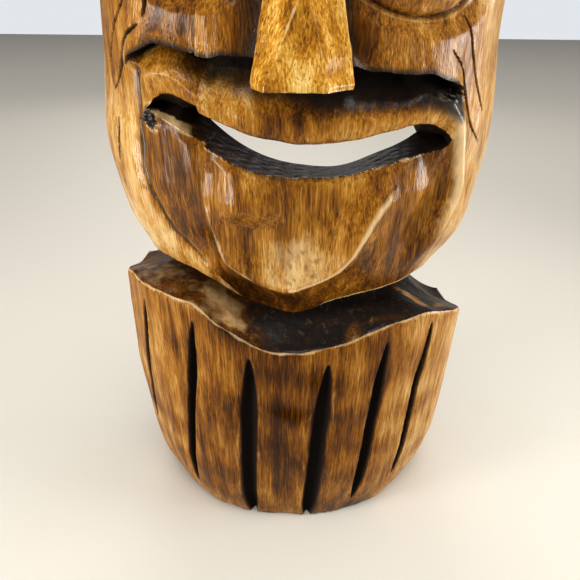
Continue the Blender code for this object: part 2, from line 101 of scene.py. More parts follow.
# ---- lines carved across the front: (across, up) in mm ----
RIM = [(-143, 213), (-134, 226), (-120, 231), (-80, 231), (-68, 227), (-54, 217), (-32, 202.5),
       (-18, 198), (4, 197.5), (27, 203), (41, 206.5), (53, 213), (66, 216), (96, 216.5), (112, 209),
       (134, 193), (143, 178)]
CHIN_EDGE = [(-112, 238), (-80, 249), (-56, 245), (-38, 229), (-10, 217), (6, 218), (20, 226), (40, 231),
             (75, 241), (112, 222)]
LOWER_LIP = [(-85, 348), (-77, 344), (-61, 337.5), (-47, 329), (-28, 320.5), (-10, 315.3), (12, 314.8),
             (28, 316.5), (42, 319.5), (54, 322.8), (71.4, 325.6), (79.6, 326.7), (83.4, 330),
             (83.6, 333.5)]
UPPER_LIP = [(-85, 348), (-80, 356), (-70, 358), (-50, 350), (-25, 340), (0, 334.5), (26, 336.5),
             (55, 342), (63, 343.6), (71, 343.8), (77, 341.5), (82, 337), (83.6, 333.5)]
WINDOW_LOW = [(-57, 345), (-42, 333), (-27, 324), (-10, 318), (15, 315), (27, 316), (47, 324),
              (58, 327), (69, 333)]
WINDOW_HIGH = [(-57, 345), (-50, 347), (-25, 338), (0, 333), (26, 335), (50, 340), (65, 340), (69, 333)]
CHEEK_LEDGE = [(-97, 368), (-88, 374), (-77, 380), (-69, 380.5), (-50, 375.5), (-28, 377), (0, 373),
               (30, 371.5), (45, 368.3), (60, 368.5), (72, 367), (81, 361), (88, 356)]
PANEL_EDGE = [(-54, 316), (-55.5, 298), (-52, 283), (-47, 262), (-37, 255), (-20, 244), (-5, 242),
              (15, 251), (28, 261), (37, 278), (45, 294), (54, 305), (58, 316)]
LEFT_CREASE = [(-90, 370), (-92, 358), (-94, 346), (-94, 333), (-96, 308), (-84, 276), (-74, 267),
               (-56, 248)]
RIGHT_FOLD = [(70, 361), (81, 352), (88, 342), (92.4, 326), (96.8, 301), (91.6, 290), (84, 268),
              (72, 243)]
LIP_FOLD = [(-91, 364), (-80, 365), (-68, 368), (-61, 365), (-49, 354), (-40, 346)]

# ---- flank wrinkles: (angle round the half round in degrees, up in mm), and widest in mm ----
WRINKLES = [
    (2.0, [(133, 412), (135.7, 398), (139.4, 392.5), (143.7, 382.5), (150.2, 368)]),
    (3.6, [(129.2, 388), (134.4, 383), (137.9, 377), (141.2, 365), (146.9, 354)]),
    (2.8, [(144.4, 339), (144.3, 326), (145.5, 312)]),
    (2.6, [(126.5, 401), (127, 392)]),
    (1.7, [(50.4, 394), (48.1, 386.4), (46.3, 377), (43.4, 364.7), (36.2, 345)]),
    (1.9, [(55.4, 378), (50.4, 369), (48.3, 359), (45.9, 349), (42.7, 339), (35.2, 326)]),
]
FLANK_MM = 1.93  # millimetres round the flank in one degree

# ---- plinth grooves: (top angle, foot angle, top mm, foot mm, widest mm) ----
GROOVES = [(138.5, 148, 217, 78, 6.0), (118, 127.5, 215, 26, 7.6), (101.3, 105.0, 191, -10, 10.6),
           (82.4, 85.4, 187, -10, 9.8), (66.2, 69.5, 202, 22, 8.0), (49, 53.5, 207, 40, 6.6)]
GROOVE_DEEP = 7.5 * MM

# ---- raw patches in the plinth's black top: (across, forwards, half sizes in mm, turn, strength) ----
RAW_PATCHES = [(-54, 90, 13, 21, -0.6, 0.50), (86, 67, 5, 23, -0.71, 0.85), (38, 106, 5, 8, 0.3, 0.4),
               (106, 70, 5, 12, 0.6, 0.5), (-98, 62, 18, 9, 0.2, 0.35), (60, 98, 16, 4, -0.2, 0.25)]

# ---- nose, eyes and brow, in metres ----
NOSE_FOOT, NOSE_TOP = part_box("nose")[0].z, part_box("nose")[1].z
NOSE_BED = BACK_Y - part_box("nose")[1].y
NOSE_HALF_FOOT, NOSE_HALF_TOP = 25 * MM, 10 * MM
EYE_X, EYE_Z = 54 * MM, 419 * MM
EYE_HALF_W, EYE_HALF_H = 35 * MM, 21 * MM
LID_BOW, LID_DROP = 6.5 * MM, 4 * MM
FURROW_Z, FURROW_BEND = 466 * MM, 0.9

# ---- crest ----
LEAVES = 7
BAND_TALL, BAND_PROUD = 24 * MM, 4 * MM
CHEVRONS_PER_LEAF = 4

# ---- grid densities, and the three bands of rows up the head ----
HEAD_COLUMNS, PLINTH_COLUMNS, LEAF_COLUMNS, NOSE_SIDE_COLUMNS, BACK_COLUMNS = 460, 560, 60, 30, 12
JAW, LIP, CHEEK = range(3)
HEAD_ROWS = (110, 50, 140)
HOLLOW_ROWS = (70, 90)
WALL_ROWS, UNDER_ROWS, STEP_ROWS = 26, 24, 6
PLINTH_ROWS, DISH_ROWS = 230, 90
NOSE_ROWS = 120
BAND_ROWS, BLADE_ROWS, DECK_ROWS = 36, 130, 14


# ---- number helpers ----
def smooth(low, high, value):
    """0 below low, 1 above high, and an S curve between; falls when low is above high."""
    t = np.clip((value - low) / (high - low), 0.0, 1.0)
    return t * t * (3 - 2 * t)


def ease(low, high, value):
    """smooth() between two places in millimetres."""
    return smooth(low * MM, high * MM, value)


def window(value, low, low_full, high_full, high):
    """1 between the two full places and 0 outside the outer two, all in millimetres."""
    return ease(low, low_full, value) * ease(high, high_full, value)


def taper(along, first, last):
    """Fades a stroke in up to its first share and out after its last one."""
    return smooth(0, first, along) * smooth(1, last, along)


def hump(value, centre, width):
    """A bell of height 1."""
    return np.exp(-((value - centre) / width) ** 2)


def wobble(u, v, size, seed, waves=8):
    """Smooth unevenness between about -1 and 1, of a size in millimetres, the same on each run."""
    rng = np.random.default_rng(seed)
    total = 0.0
    for turn, phase, stretch in rng.uniform(0, 1, (waves, 3)):
        along = u * math.cos(turn * math.pi) + v * math.sin(turn * math.pi)
        total = total + np.sin(2 * math.pi * (along / (size * MM * (0.6 + stretch)) + phase))
    return total / math.sqrt(waves)


def eased(place, at, values, reach):
    """A drawn outline with corners rounded over the reach in millimetres, except at its ends."""
    reach = np.clip(np.minimum(place - at[0], at[-1] - place), 0, reach * MM)
    steps = np.linspace(-1, 1, 7)
    return sum(np.interp(place + step * reach, at, values) for step in steps) / len(steps)


def profile(table, height):
    """Half width and depth of a block at the given heights."""
    at, half_widths, depths = (np.array(table) * MM).T
    return eased(height, at, half_widths, BEND_ROUND), eased(height, at, depths, BEND_ROUND)


def carved_line(points, x):
    """Height of a carved line at the given distances across."""
    line = np.array(points) * MM
    return eased(x, line[:, 0], line[:, 1], CARVED_ROUND)


def stroke(points, u, v):
    """Distance to a drawn line, the share of the way along it, and the side (+1 is its left).

    The line's corners are cut once, a quarter of the way along each straight.
    """
    line = np.array(points) * MM
    near, far = line[:-1], line[1:]
    cut = np.stack([near * 0.75 + far * 0.25, near * 0.25 + far * 0.75], axis=1)
    line = np.concatenate([line[:1], cut.reshape(-1, 2)[1:-1], line[-1:]])
    length = np.hypot(*np.diff(line, axis=0).T)
    best = np.full(np.shape(u), 1e9)
    share = np.zeros(np.shape(u))
    side = np.zeros(np.shape(u))
    run = 0.0
    for start, end, reach in zip(line, line[1:], length):
        way = (end - start) / reach
        t = np.clip((u - start[0]) * way[0] + (v - start[1]) * way[1], 0, reach)
        du = u - start[0] - t * way[0]
        dv = v - start[1] - t * way[1]
        apart = np.hypot(du, dv)
        near = apart < best
        best = np.where(near, apart, best)
        share = np.where(near, (run + t) / length.sum(), share)
        side = np.where(near, np.sign(way[0] * dv - way[1] * du), side)
        run += reach
    return best, share, side


def half_round(half_width, depth, angle):
    """Point of a squared-off half ellipse: x across, d forwards from the back."""
    power = 2 / ROUNDNESS
    x = half_width * np.sign(np.cos(angle)) * np.abs(np.cos(angle)) ** power
    return x, depth * np.abs(np.sin(angle)) ** power


def outward(x, d, half_width, depth):
    """Unit direction out of the half round, as (across, forwards)."""
    nx = np.sign(x) * np.abs(x / half_width) ** (ROUNDNESS - 1) / half_width
    nd = np.abs(d / depth) ** (ROUNDNESS - 1) / depth
    size = np.hypot(nx, nd) + 1e-9
    return nx / size, nd / size


def even_angles(count, half_width, depth):
    """Angles from the right back edge to the left one, evenly spaced round the outline."""
    fine = np.linspace(0, math.pi, 4001)
    x, d = half_round(half_width, depth, fine)
    run = np.concatenate([[0], np.cumsum(np.hypot(np.diff(x), np.diff(d)))])
    angle = np.interp(np.linspace(0, run[-1], count + 1), run, fine)
    angle[-1] = math.pi
    return angle


def shares(count):
    """Even steps from 0 to 1, one to a row of a grid."""
    return np.linspace(0, 1, count)[:, None]


def on_back(d):
    """The first and last columns lie exactly on the back plane."""
    d[..., 0] = 0.0
    d[..., -1] = 0.0
    return d


def to_points(x, d, z):
    """Points in the frame from distances across, forwards of the back and up."""
    return np.stack([x, BACK_Y - d, z + 0 * x], axis=-1)


def marks(stain_and_shade, wear_and_highlight, tone_and_shading):
    """The three marks side by side, each spread over the same points."""
    shape = np.broadcast(stain_and_shade, wear_and_highlight, tone_and_shading).shape
    return np.stack([np.broadcast_to(m, shape) for m in (stain_and_shade, wear_and_highlight, tone_and_shading)], axis=-1)


def link(name, data):
    """A new object in the scene."""
    obj = bpy.data.objects.new(name, data)
    bpy.context.scene.collection.objects.link(obj)
    return obj


def between(first, last, count):
    """Rows of points from one row to another."""
    share = shares(count)[..., None]
    return first[None] * (1 - share) + last[None] * share


def across_back(curve):
    """A straight row of points across the back between a curve's ends."""
    share = shares(len(curve))
    return curve[0] * (1 - share) + curve[-1] * share


def laid_back(curve):
    """A curve's points moved straight back onto the back plane."""
    return to_points(curve[:, 0], 0 * curve[:, 0], curve[:, 2])


class Skin:
    """Grids of carved points with their marks, joined into one closed mesh."""

    def __init__(self):
        self.points, self.marks, self.faces, self.count = [], [], [], 0

    def add(self, points, mark=(0.0, 0.0, 0.0)):
        rows, columns = points.shape[:2]
        index = self.count + np.arange(rows * columns).reshape(rows, columns)
        quads = [index[:-1, :-1], index[:-1, 1:], index[1:, 1:], index[1:, :-1]]
        self.faces.append(np.stack(quads, axis=-1).reshape(-1, 4))
        self.points.append(points.reshape(-1, 3))
        self.marks.append(np.broadcast_to(mark, points.shape).reshape(-1, 3))
        self.count += rows * columns

    def bridge(self, first, last, count, mark):
        """A strip of rows from one row of points to another."""
        self.add(between(first, last, count), mark)

    def build(self, name):
        mesh = bpy.data.meshes.new(name)
        points, faces = np.concatenate(self.points), np.concatenate(self.faces)
        mesh.from_pydata(points.tolist(), [], faces.tolist())
        painted = np.concatenate(self.marks)
        for k, label in enumerate(("stain_and_shade", "wear_and_highlight", "tone_and_shading")):
            layer = mesh.attributes.new(label, "FLOAT", "POINT")
            layer.data.foreach_set("value", np.ascontiguousarray(painted[:, k], dtype=np.float32))
        bm = bmesh.new()
        bm.from_mesh(mesh)
        bmesh.ops.remove_doubles(bm, verts=bm.verts, dist=2e-6)
        bmesh.ops.recalc_face_normals(bm, faces=bm.faces)
        bm.to_mesh(mesh)
        bm.free()
        mesh.shade_smooth()
        mesh.set_sharp_from_angle(angle=math.radians(50))
        return link(name, mesh)


# ---- plinth ----
def plinth_section(height, angle):
    half_width, depth = profile(PLINTH_PROFILE, height)
    x, d = half_round(half_width, depth, angle)
    return x * (1 - CORNER_ROUND * smooth(CORNER_REACH, 0.0, d)), d


def plinth_side(angle, height):
    """Relief and marks of the plinth's fluted front."""
    degrees = np.degrees(angle)[None, :] + 0 * height
    x, d = plinth_section(height, angle[None, :])
    edge = smooth(2, 12, degrees) * smooth(178, 168, degrees)
    run = degrees * FLANK_MM * MM * 1.15
    relief = 0.5 * MM * wobble(run, height * 0.35, 26, 3)
    relief = relief + 0.9 * MM * wobble(run, height * 0.6, 70, 4)
    relief = relief + 0.12 * MM * wobble(run, height * 0.12, 5, 5)
    stain_and_shade, wear_and_highlight = 0 * x, 0 * x
    for k, (top, foot, high, low, widest) in enumerate(GROOVES):
        share = (high * MM - height) / ((high - low) * MM)
        inside = np.clip(share, 0, 1)
        bend = 1.2 * np.sin(math.pi * inside) * (1 if top < 90 else -1)
        centre = top + (foot - top) * share + 0.06 * wobble(height, 0, 34, 11 + k) + 0.3 * bend
        metres = np.abs(degrees - centre) * math.pi / 180 * np.hypot(x, d) * 0.93
        half = widest / 2 * MM * np.clip(2.0 * np.sqrt(inside) * (1 - inside ** 3) ** 0.7, 0, 1.0)
        half = half * (0.97 + 0.025 * wobble(height, 0, 19, 21 + k)) * (share > 0) * (share < 1)
        ratio = metres / np.maximum(half, 0.05 * MM)
        deep = GROOVE_DEEP * np.clip(half / (3.6 * MM), 0, 1) ** 1.3
        relief = relief - deep * np.clip(1.05 - ratio ** 1.5, 0, 1)
        stain_and_shade = np.maximum(stain_and_shade, 0.97 * smooth(1.15, 0.72, ratio) * ease(0, 0.4, half))
        wear_and_highlight = np.maximum(wear_and_highlight, 0.28 * hump(ratio, 1.25, 0.14) * (half > 1 * MM))
    spread = wobble(x, height, 45, 8)
    tone_and_shading = 0.25 * spread + 0.62 * smooth(70, 42, degrees) + 0.30 * smooth(104, 125, degrees)
    tone_and_shading = tone_and_shading - 0.55 * hump(degrees, 90, 15) * ease(20, 120, height)
    tone_and_shading = tone_and_shading * (1 - stain_and_shade) - stain_and_shade
    stain_and_shade = np.maximum(stain_and_shade, 0.55 * ease(9, 1, height + 3 * MM * spread))
    return relief * edge, marks(stain_and_shade, wear_and_highlight, tone_and_shading)


def plinth_top_marks(x, d, near_rim, near_neck):
    """Black varnish soaked into the dished top, with raw patches that show through, rubbed pale
    edges at the rim and a painted highlight round the neck.
    """
    rough = wobble(x, d, 22, 31) + 0.5 * wobble(x, d, 8, 32)
    black = ease(-40, -16, x + 6 * MM * rough - 0.25 * (d - 90 * MM))
    stain_and_shade = 0.24 + 0.80 * black + 0.16 * rough * (1 - black)
    raw = 0 * x
    for cx, cd, rx, rd, turn, strength in RAW_PATCHES:
        u = (x - cx * MM) * math.cos(turn) + (d - cd * MM) * math.sin(turn)
        v = (d - cd * MM) * math.cos(turn) - (x - cx * MM) * math.sin(turn)
        reach = np.hypot(u / (rx * MM), v / (rd * MM)) + 0.28 * rough
        raw = np.maximum(raw, strength * smooth(1.25, 0.5, reach))
    pale_edges = 0.6 * smooth(0.03, 0.0, near_rim + 0.008 * rough)
    # painted highlight: a pale line round the neck, where light catches the varnish at the joint
    pale_edges = pale_edges + 0.7 * smooth(0.035, 0.0, near_neck + 0.008 * rough)
    wear_and_highlight = np.maximum(0.42 * raw + 0.26 * (1 - black), pale_edges)
    scuffs = hump(wobble(x, d * 0.6, 7, 33), 0.7, 0.25) * black
    wear_and_highlight = np.maximum(wear_and_highlight, 0.4 * scuffs)
    stain_and_shade = np.clip(stain_and_shade, 0, 1) * (1 - raw) * (1 - 0.6 * pale_edges) * (1 - 0.22 * scuffs)
    return marks(stain_and_shade, wear_and_highlight, -0.35 + 1.1 * raw + 0.2 * rough)


def make_plinth():
    angle = even_angles(PLINTH_COLUMNS, *PLINTH_SPAN)
    nominal_x, _ = half_round(PLINTH_SPAN[0], 1.0, angle)
    rim = carved_line(RIM, nominal_x) + 0.25 * MM * wobble(nominal_x, 0, 26, 41)
    height = shares(PLINTH_ROWS) * rim[None, :]
    x, d = plinth_section(height, angle[None, :])
    half_width, depth = profile(PLINTH_PROFILE, height)
    relief, side_marks = plinth_side(angle, height)
    below_rim = rim[None, :] - height
    roll = ease(3.0, 0, below_rim) ** 1.5 * 1.1 * MM + ease(2.5, 0, height) * 0.8 * MM
    nx, nd = outward(x, d, half_width, depth)
    x = x + nx * (relief - roll)
    d = d + nd * (relief - roll)
    pale_edges = ease(2.6, 0.2, below_rim + 0.5 * MM * wobble(x, height, 15, 43))
    side_marks[..., 1] = np.maximum(side_marks[..., 1], 0.6 * pale_edges)
    side = to_points(x, on_back(d), height)

    steps = shares(DISH_ROWS) ** 1.15
    scale = 1 - (1 - NECK_SHARE) * steps
    rise = steps ** COVE
    neck = NECK_Z + LEAN * nominal_x[None, :] * scale
    z = rim[None, :] * (1 - rise) + neck * rise
    top_x, top_d = x[-1:] * scale, d[-1:] * scale
    gouge = 0.45 * MM * wobble(top_x, top_d, 38, 51) + 0.08 * MM * wobble(top_x, top_d, 7, 52)
    uneven = (gouge * taper(steps, 0.05, 0.93) - 0.6 * MM * smooth(0.06, 0, steps)) * ease(0, 8, top_d)
    top = to_points(top_x, on_back(top_d), z + uneven)
    top[0] = side[-1]
    top_marks = plinth_top_marks(top_x, top_d, steps + 0 * z, 1 - steps + 0 * z)

    skin = Skin()
    skin.add(side, side_marks)
    skin.add(top, top_marks)
    skin.bridge(across_back(side[0]), side[0], 10, (0.35, 0.2, 0.1))
    skin.bridge(top[-1], across_back(top[-1]), 4, (0.6, 0, 0))
    edge = np.concatenate([side[:, [0, -1]], top[1:, [0, -1]]])
    skin.add(between(edge[:, 0], edge[:, 1], 24).transpose(1, 0, 2), (0.0, 0.25, 0.45))
    return skin.build("plinth_carved")


# ---- head ----
def mouth_band(x, share):
    """Relief between the upper lip (share 0) and the ledge under the cheeks (share 1)."""
    inside = window(x, -93, -87, 82, 90)
    flap = 2.0 * MM * np.sin(math.pi * np.clip(share / 0.7, 0, 1)) ** 1.2
    full_ends = ease(-48, -72, x) + 0.9 * ease(56, 74, x)
    hollow = (16 - 9 * full_ends) * MM * np.clip((share - 0.18) / 0.82, 0, 1) ** (1.5 + 3.5 * full_ends)
    lip_edge = 0.7 * MM * smooth(0.05, 0.0, share)
    return inside * (flap - hollow) - lip_edge * ease(83, 72, np.abs(x))


def eye_lines(x, z):
    """Distances from the nearer eye (1 at its rim), from its lid line and from the brow furrow."""
    upright = z - LEAN * x
    across = (np.abs(x) - EYE_X) / EYE_HALF_W
    reach = np.hypot(across, (upright - EYE_Z) / EYE_HALF_H)
    slit = np.abs(upright - EYE_Z + LID_BOW * (1 - across ** 2) - LID_DROP)
    return reach, slit, upright - (FURROW_Z + FURROW_BEND * x ** 2)


def cheek_relief(x, z, above):
    """Relief over the ledge: full cheeks, eyes and brows."""
    away = np.abs(x)
    inside = window(x, -99, -88, 80, 90)
    relief = 4.6 * MM * inside * np.exp(-np.clip(above, 0, 1) / (17 * MM))
    reach, slit, over_furrow = eye_lines(x, z)
    socket = 3.4 * MM * smooth(1.5, 1.04, reach) + 1.6 * MM * smooth(1.04, 0.98, reach)
    ball = 7.5 * MM * np.sqrt(np.clip(1 - (reach / 0.98) ** 2, 0, 1))
    lids = 2.2 * MM * ease(2.1, 0.6, slit) * smooth(0.92, 0.8, reach)
    brow_line = z - LEAN * x - 449 * MM + 2.2 * (away - 45 * MM) ** 2
    brow = 7.5 * MM * np.exp(-np.abs(brow_line / (8 * MM)) ** 1.6) * ease(112, 94, away)
    furrow = 1.6 * MM * hump(over_furrow, 0, 1.4 * MM) * ease(98, 80, away)
    return relief - socket + ball - lids + brow - furrow


def beside_nose(x, z):
    """Distance outside the nose's flank, measured across."""
    share = np.clip((z - NOSE_FOOT) / (NOSE_TOP - NOSE_FOOT), 0, 1)
    return np.abs(x) - (NOSE_HALF_FOOT + (NOSE_HALF_TOP - NOSE_HALF_FOOT) * share)


def clumps(x, z):
    """Crinkled runs of thick varnish at the two ends of the mouth."""
    left = smooth(1.2, 0.5, np.hypot((x + 85 * MM) / (7 * MM), (z - 343 * MM) / (8 * MM)))
    right = smooth(1.2, 0.5, np.hypot((x - 79 * MM) / (8 * MM), (z - 358 * MM) / (5 * MM)))
    return np.maximum(left, right)


def wrinkle_distances(degrees, z):
    """Distance to each flank wrinkle as a share of its half width."""
    for widest, points in WRINKLES:
        drawn = [(a * FLANK_MM, up) for a, up in points]
        apart, along, _ = stroke(drawn, degrees * FLANK_MM * MM, z)
        half = widest / 2 * MM * np.sin(math.pi * np.clip(along * 0.9 + 0.06, 0, 1)) ** 0.7
        yield apart / np.maximum(half, 0.1 * MM)


def head_relief(x, z, degrees, band, share, ledge):
    """All carving of the head's front, in metres out of the plain half round."""
    relief = 0.45 * MM * wobble(x, z * 0.4, 24, 61) + 0.9 * MM * wobble(x, z * 0.7, 75, 62)
    relief = relief + 0.10 * MM * wobble(x, z * 0.15, 4.5, 63)

    apart, along, side = stroke(PANEL_EDGE, x, z)
    foot = ease(270, 248, z)
    rise = (3.4 + 1.6 * foot) * MM
    swollen = ease(282, 300, z) * ease(2, -26, x)
    fall = np.where(side > 0, 15 * MM, 11 * MM - 4 * MM * foot)
    ridge = rise * np.exp(-apart / fall) * taper(along, 0.12, 0.88)
    roll = 6.5 * MM * swollen * ease(-2, 20, apart * side)
    relief = relief + ridge * (1 - 0.75 * swollen) + roll
    dish = ease(2, 26, apart * side) * ease(322, 292, z) * (1 - swollen)
    outside = ease(0, 12, -apart * side) * ease(56, 26, apart) * ease(308, 285, z)
    relief = relief - 3.2 * MM * dish - 2.2 * MM * outside
    keel = np.exp(-np.abs(x + 2 * MM) / (16 * MM)) * ease(247, 238, z)
    relief = relief + 2.0 * MM * keel

    apart, along, side = stroke(LEFT_CREASE, x, z)
    fall = np.where(side > 0, 20 * MM, 5 * MM)
    sunk = 3.6 * MM * np.exp(-apart / fall) + 0.3 * MM * hump(apart, 0, 1.0 * MM)
    relief = relief - sunk * taper(along, 0.03, 0.9)

    apart, along, side = stroke(RIGHT_FOLD, x, z)
    inner_dip = 5.0 * MM * hump(apart, 12 * MM, 6.5 * MM) * (side < 0) * ease(330, 308, z)
    fold = 5.6 * MM * hump(apart, 0, 5.5 * MM)
    relief = relief + (fold - inner_dip) * taper(along, 0.10, 0.72)

    apart, along, _ = stroke(LIP_FOLD, x, z)
    relief = relief + 1.7 * MM * hump(apart, 0, 3.4 * MM) * taper(along, 0.1, 0.8)

    below_lip = (1 - share) * 90 * MM
    lean = 5 * MM * np.clip(1 - below_lip / (36 * MM), 0, 1) ** 1.3 * ease(-68, -50, x)
    trench = 5.0 * MM * hump(beside_nose(x, z), 3 * MM, 6 * MM) * window(z, 366, 378, 425, 452)
    if band == JAW:
        relief = relief - (1.2 * MM * ease(5, 0, below_lip) + lean) * ease(83, 72, np.abs(x))
    elif band == LIP:
        relief = relief + mouth_band(x, share)
    else:
        relief = relief + cheek_relief(x, z, z - ledge) - trench
    for distance in wrinkle_distances(degrees, z):
        relief = relief - 2.6 * MM * smooth(1.15, 0.1, distance)
    crinkle = wobble(x, z, 2.8, 71) + wobble(x, z, 6, 72)
    return relief + clumps(x, z) * (0.9 + 1.3 * crinkle) * MM


def front_marks(x, z, degrees, spread, fine):
    """Marks of the chin's panel, the two folds beside it and the flanks, with painted highlights on
    the panel's edge and the right fold, painted shade on the under bevel and the left jaw plane,
    and painted sheen on the flanks.
    """
    apart, along, side = stroke(PANEL_EDGE, x, z)
    # the panel's edges are rubbed pale; the brighter, wider line on its right half is also a painted
    # highlight
    worn_and_highlight = (1.3 + 0.3 * fine + 1.6 * smooth(0.72, 0.95, along)) * MM
    wear_and_highlight = (0.45 + 0.4 * (along > 0.5)) * hump(apart, 0, worn_and_highlight) * taper(along, 0.12, 0.90)
    inside = ease(-2, 3, apart * side) * ease(335, 315, z)
    pale_chin = inside * ease(290, 258, z + 7 * MM * spread)
    tone_and_shading = 0.16 * spread + 0.16 * inside * ease(262, 290, z) + 0.80 * pale_chin
    specks = smooth(0.5, 1.3, wobble(x, z * 0.7, 5, 83))
    stain_and_shade = 0.45 * pale_chin * specks * hump(x, 2 * MM, 22 * MM)
    wear_and_highlight = np.maximum(wear_and_highlight, 0.52 * pale_chin * hump(x, 2 * MM, 36 * MM))
    # painted shade: the bevel under the chin's panel faces down and is darkened
    under_bevel_shade = ease(0, 4, -apart * side) * ease(262, 240, z) * ease(90, 60, np.abs(x))
    tone_and_shading = tone_and_shading - 0.40 * under_bevel_shade

    apart, along, side = stroke(LEFT_CREASE, x, z)
    line = hump(apart, 0, (1.1 + 0.3 * fine) * MM) * taper(along, 0.05, 0.85)
    stain_and_shade = np.maximum(stain_and_shade, 0.9 * line)
    # paler wood with a painted sheen: the left flank is lightened and rubbed pale
    flank = ease(0, 6, -apart * side) * ease(385, 350, z) * (x < 0)
    # painted shade: the left jaw plane between the crease and the panel faces down and left, and is
    # darkened
    left_jaw_shade = ease(0, 5, apart * side) * ease(44, 26, apart) * (x < 0) * ease(352, 340, z)
    tone_and_shading = tone_and_shading + 0.50 * flank - 0.55 * left_jaw_shade

    # the right fold's ridge is rubbed pale, partly as a painted highlight where its varnish shines white
    apart, along, _ = stroke(RIGHT_FOLD, x, z)
    fold = 0.9 * hump(apart, 0, 4.6 * MM) * smooth(0, 0.1, along) * smooth(0.9, 0.5, along)
    # paler wood with a painted sheen: the head's sides are lightened and rubbed pale where they turn
    # away from the front
    pale_side_sheen = smooth(52, 40, degrees)
    tone_and_shading = tone_and_shading + 0.60 * pale_side_sheen + 0.25 * smooth(128, 142, degrees)
    return stain_and_shade, np.maximum.reduce([wear_and_highlight, 0.36 * flank, fold, 0.36 * pale_side_sheen]), tone_and_shading


def lip_marks(x, share, spread, fine):
    """Black on the upper lip under the cheeks, part soaked stain and part the ledge's painted
    shadow, and how its tone changes across.
    """
    # part stain and part painted shadow: the lip is blackened down from the ledge, furthest on the right
    # of the nose
    reach = 0.62 - 0.16 * ease(-20, 4, x)
    darkened = 0.92 * smooth(reach - 0.17, reach + 0.17, share + 0.07 * spread + 0.04 * fine)
    black = 0.84 - 0.10 * ease(10, 30, x) + 0.10 * ease(-50, -70, x)
    darkened = darkened * ease(-74, -48, x) + smooth(black - 0.04, black + 0.05, share)
    right = (0.65 - 1.1 * smooth(0.12, 0.5, share)) * ease(-15, 10, x)
    left = (0.55 - 0.4 * smooth(0.5, 0.8, share)) * ease(-5, -30, x)
    tone_and_shading = (right + left) * window(x, -95, -89, 84, 90)
    return np.clip(darkened * window(x, -94, -90, 86, 90), 0, 1), tone_and_shading


def cheek_marks(x, z, ledge, fine):
    """Marks of the cheeks, the eyes and the brow: stain, wear and a change of tone, with the
    ledge's shadow painted black along the cheeks' foot and a painted highlight round each eye.
    """
    gap = beside_nose(x, z)
    reach, slit, over_furrow = eye_lines(x, z)
    stain_and_shade = np.maximum.reduce([
        # part stain and part painted shadow: a black strip along the cheeks' foot, just over the ledge
        0.85 * ease(3.5, 0.5, z - ledge) * window(x, -99, -90, 82, 90),
        0.80 * ease(12, 1, gap + 2 * MM * fine) * ease(455, 430, z),
        0.65 * hump(reach, 1.0, 0.045),
        0.9 * ease(2.0, 0.8, slit) * smooth(0.94, 0.84, reach),
        0.8 * hump(over_furrow, 0, 1.5 * MM) * ease(98, 84, np.abs(x))])
    tone_and_shading = 0.35 * ease(5, 40, x) - 0.08 - 0.30 * ease(24, 8, gap)
    # painted highlight: a pale ring just outside each eye's rim
    return stain_and_shade, 0.45 * hump(reach, 1.10, 0.035), tone_and_shading * window(x, -96, -84, 80, 92)


def head_marks(x, z, degrees, band, share, ledge):
    """Where the head is stained black, rubbed pale, or darker and lighter, and where shadow, shade
    and highlights are painted on it.
    """
    spread = wobble(x, z, 40, 81)
    fine = wobble(x, z * 0.4, 9, 82)
    stain_and_shade, wear_and_highlight, tone_and_shading = front_marks(x, z, degrees, spread, fine)
    if band == LIP:
        darkened, lip_tone = lip_marks(x, share, spread, fine)
        stain_and_shade = np.maximum(stain_and_shade, darkened)
        tone_and_shading = tone_and_shading + lip_tone
    # the fold along the upper lip's left end is rubbed pale, partly as a painted highlight
    apart, along, _ = stroke(LIP_FOLD, x, z)
    wear_and_highlight = np.maximum(wear_and_highlight, 0.3 * hump(apart, 0, 1.6 * MM) * taper(along, 0.1, 0.8))
    if band == CHEEK:
        cheek_stain_and_shade, cheek_wear_and_highlight, cheek_tone = cheek_marks(x, z, ledge, fine)
        stain_and_shade, wear_and_highlight = np.maximum(stain_and_shade, cheek_stain_and_shade), np.maximum(wear_and_highlight, cheek_wear_and_highlight)
        tone_and_shading = tone_and_shading + cheek_tone

    to_lips = [np.abs(z - carved_line(lip, x)) for lip in (LOWER_LIP, UPPER_LIP)]
    at_mouth = ease(2.6, 0.3, np.minimum(*to_lips) + 0.6 * MM * fine) * ease(86, 78, np.abs(x + 2 * MM))
    stain_and_shade = np.maximum(stain_and_shade, 0.45 * at_mouth * ease(45, 20, np.abs(x)))
    if band == JAW:
        # painted highlight: a pale line along the head's lower edge on the right, where light catches
        # the varnish at the joint
        chin_edge_highlight = ease(2.0, 0.6, share * 90 * MM) * window(x, 8, 22, 88, 104)
        wear_and_highlight = np.maximum.reduce([wear_and_highlight, 0.55 * at_mouth * ease(25, 50, np.abs(x)), 0.9 * chin_edge_highlight])
    for distance in wrinkle_distances(degrees, z):
        stain_and_shade = np.maximum(stain_and_shade, smooth(1.1, 0.7, distance))
    thick = clumps(x, z)
    stain_and_shade, wear_and_highlight = np.maximum(stain_and_shade, thick), wear_and_highlight * (1 - thick)
    return marks(np.clip(stain_and_shade, 0, 1), np.clip(wear_and_highlight, 0, 1), tone_and_shading + 3 * thick)


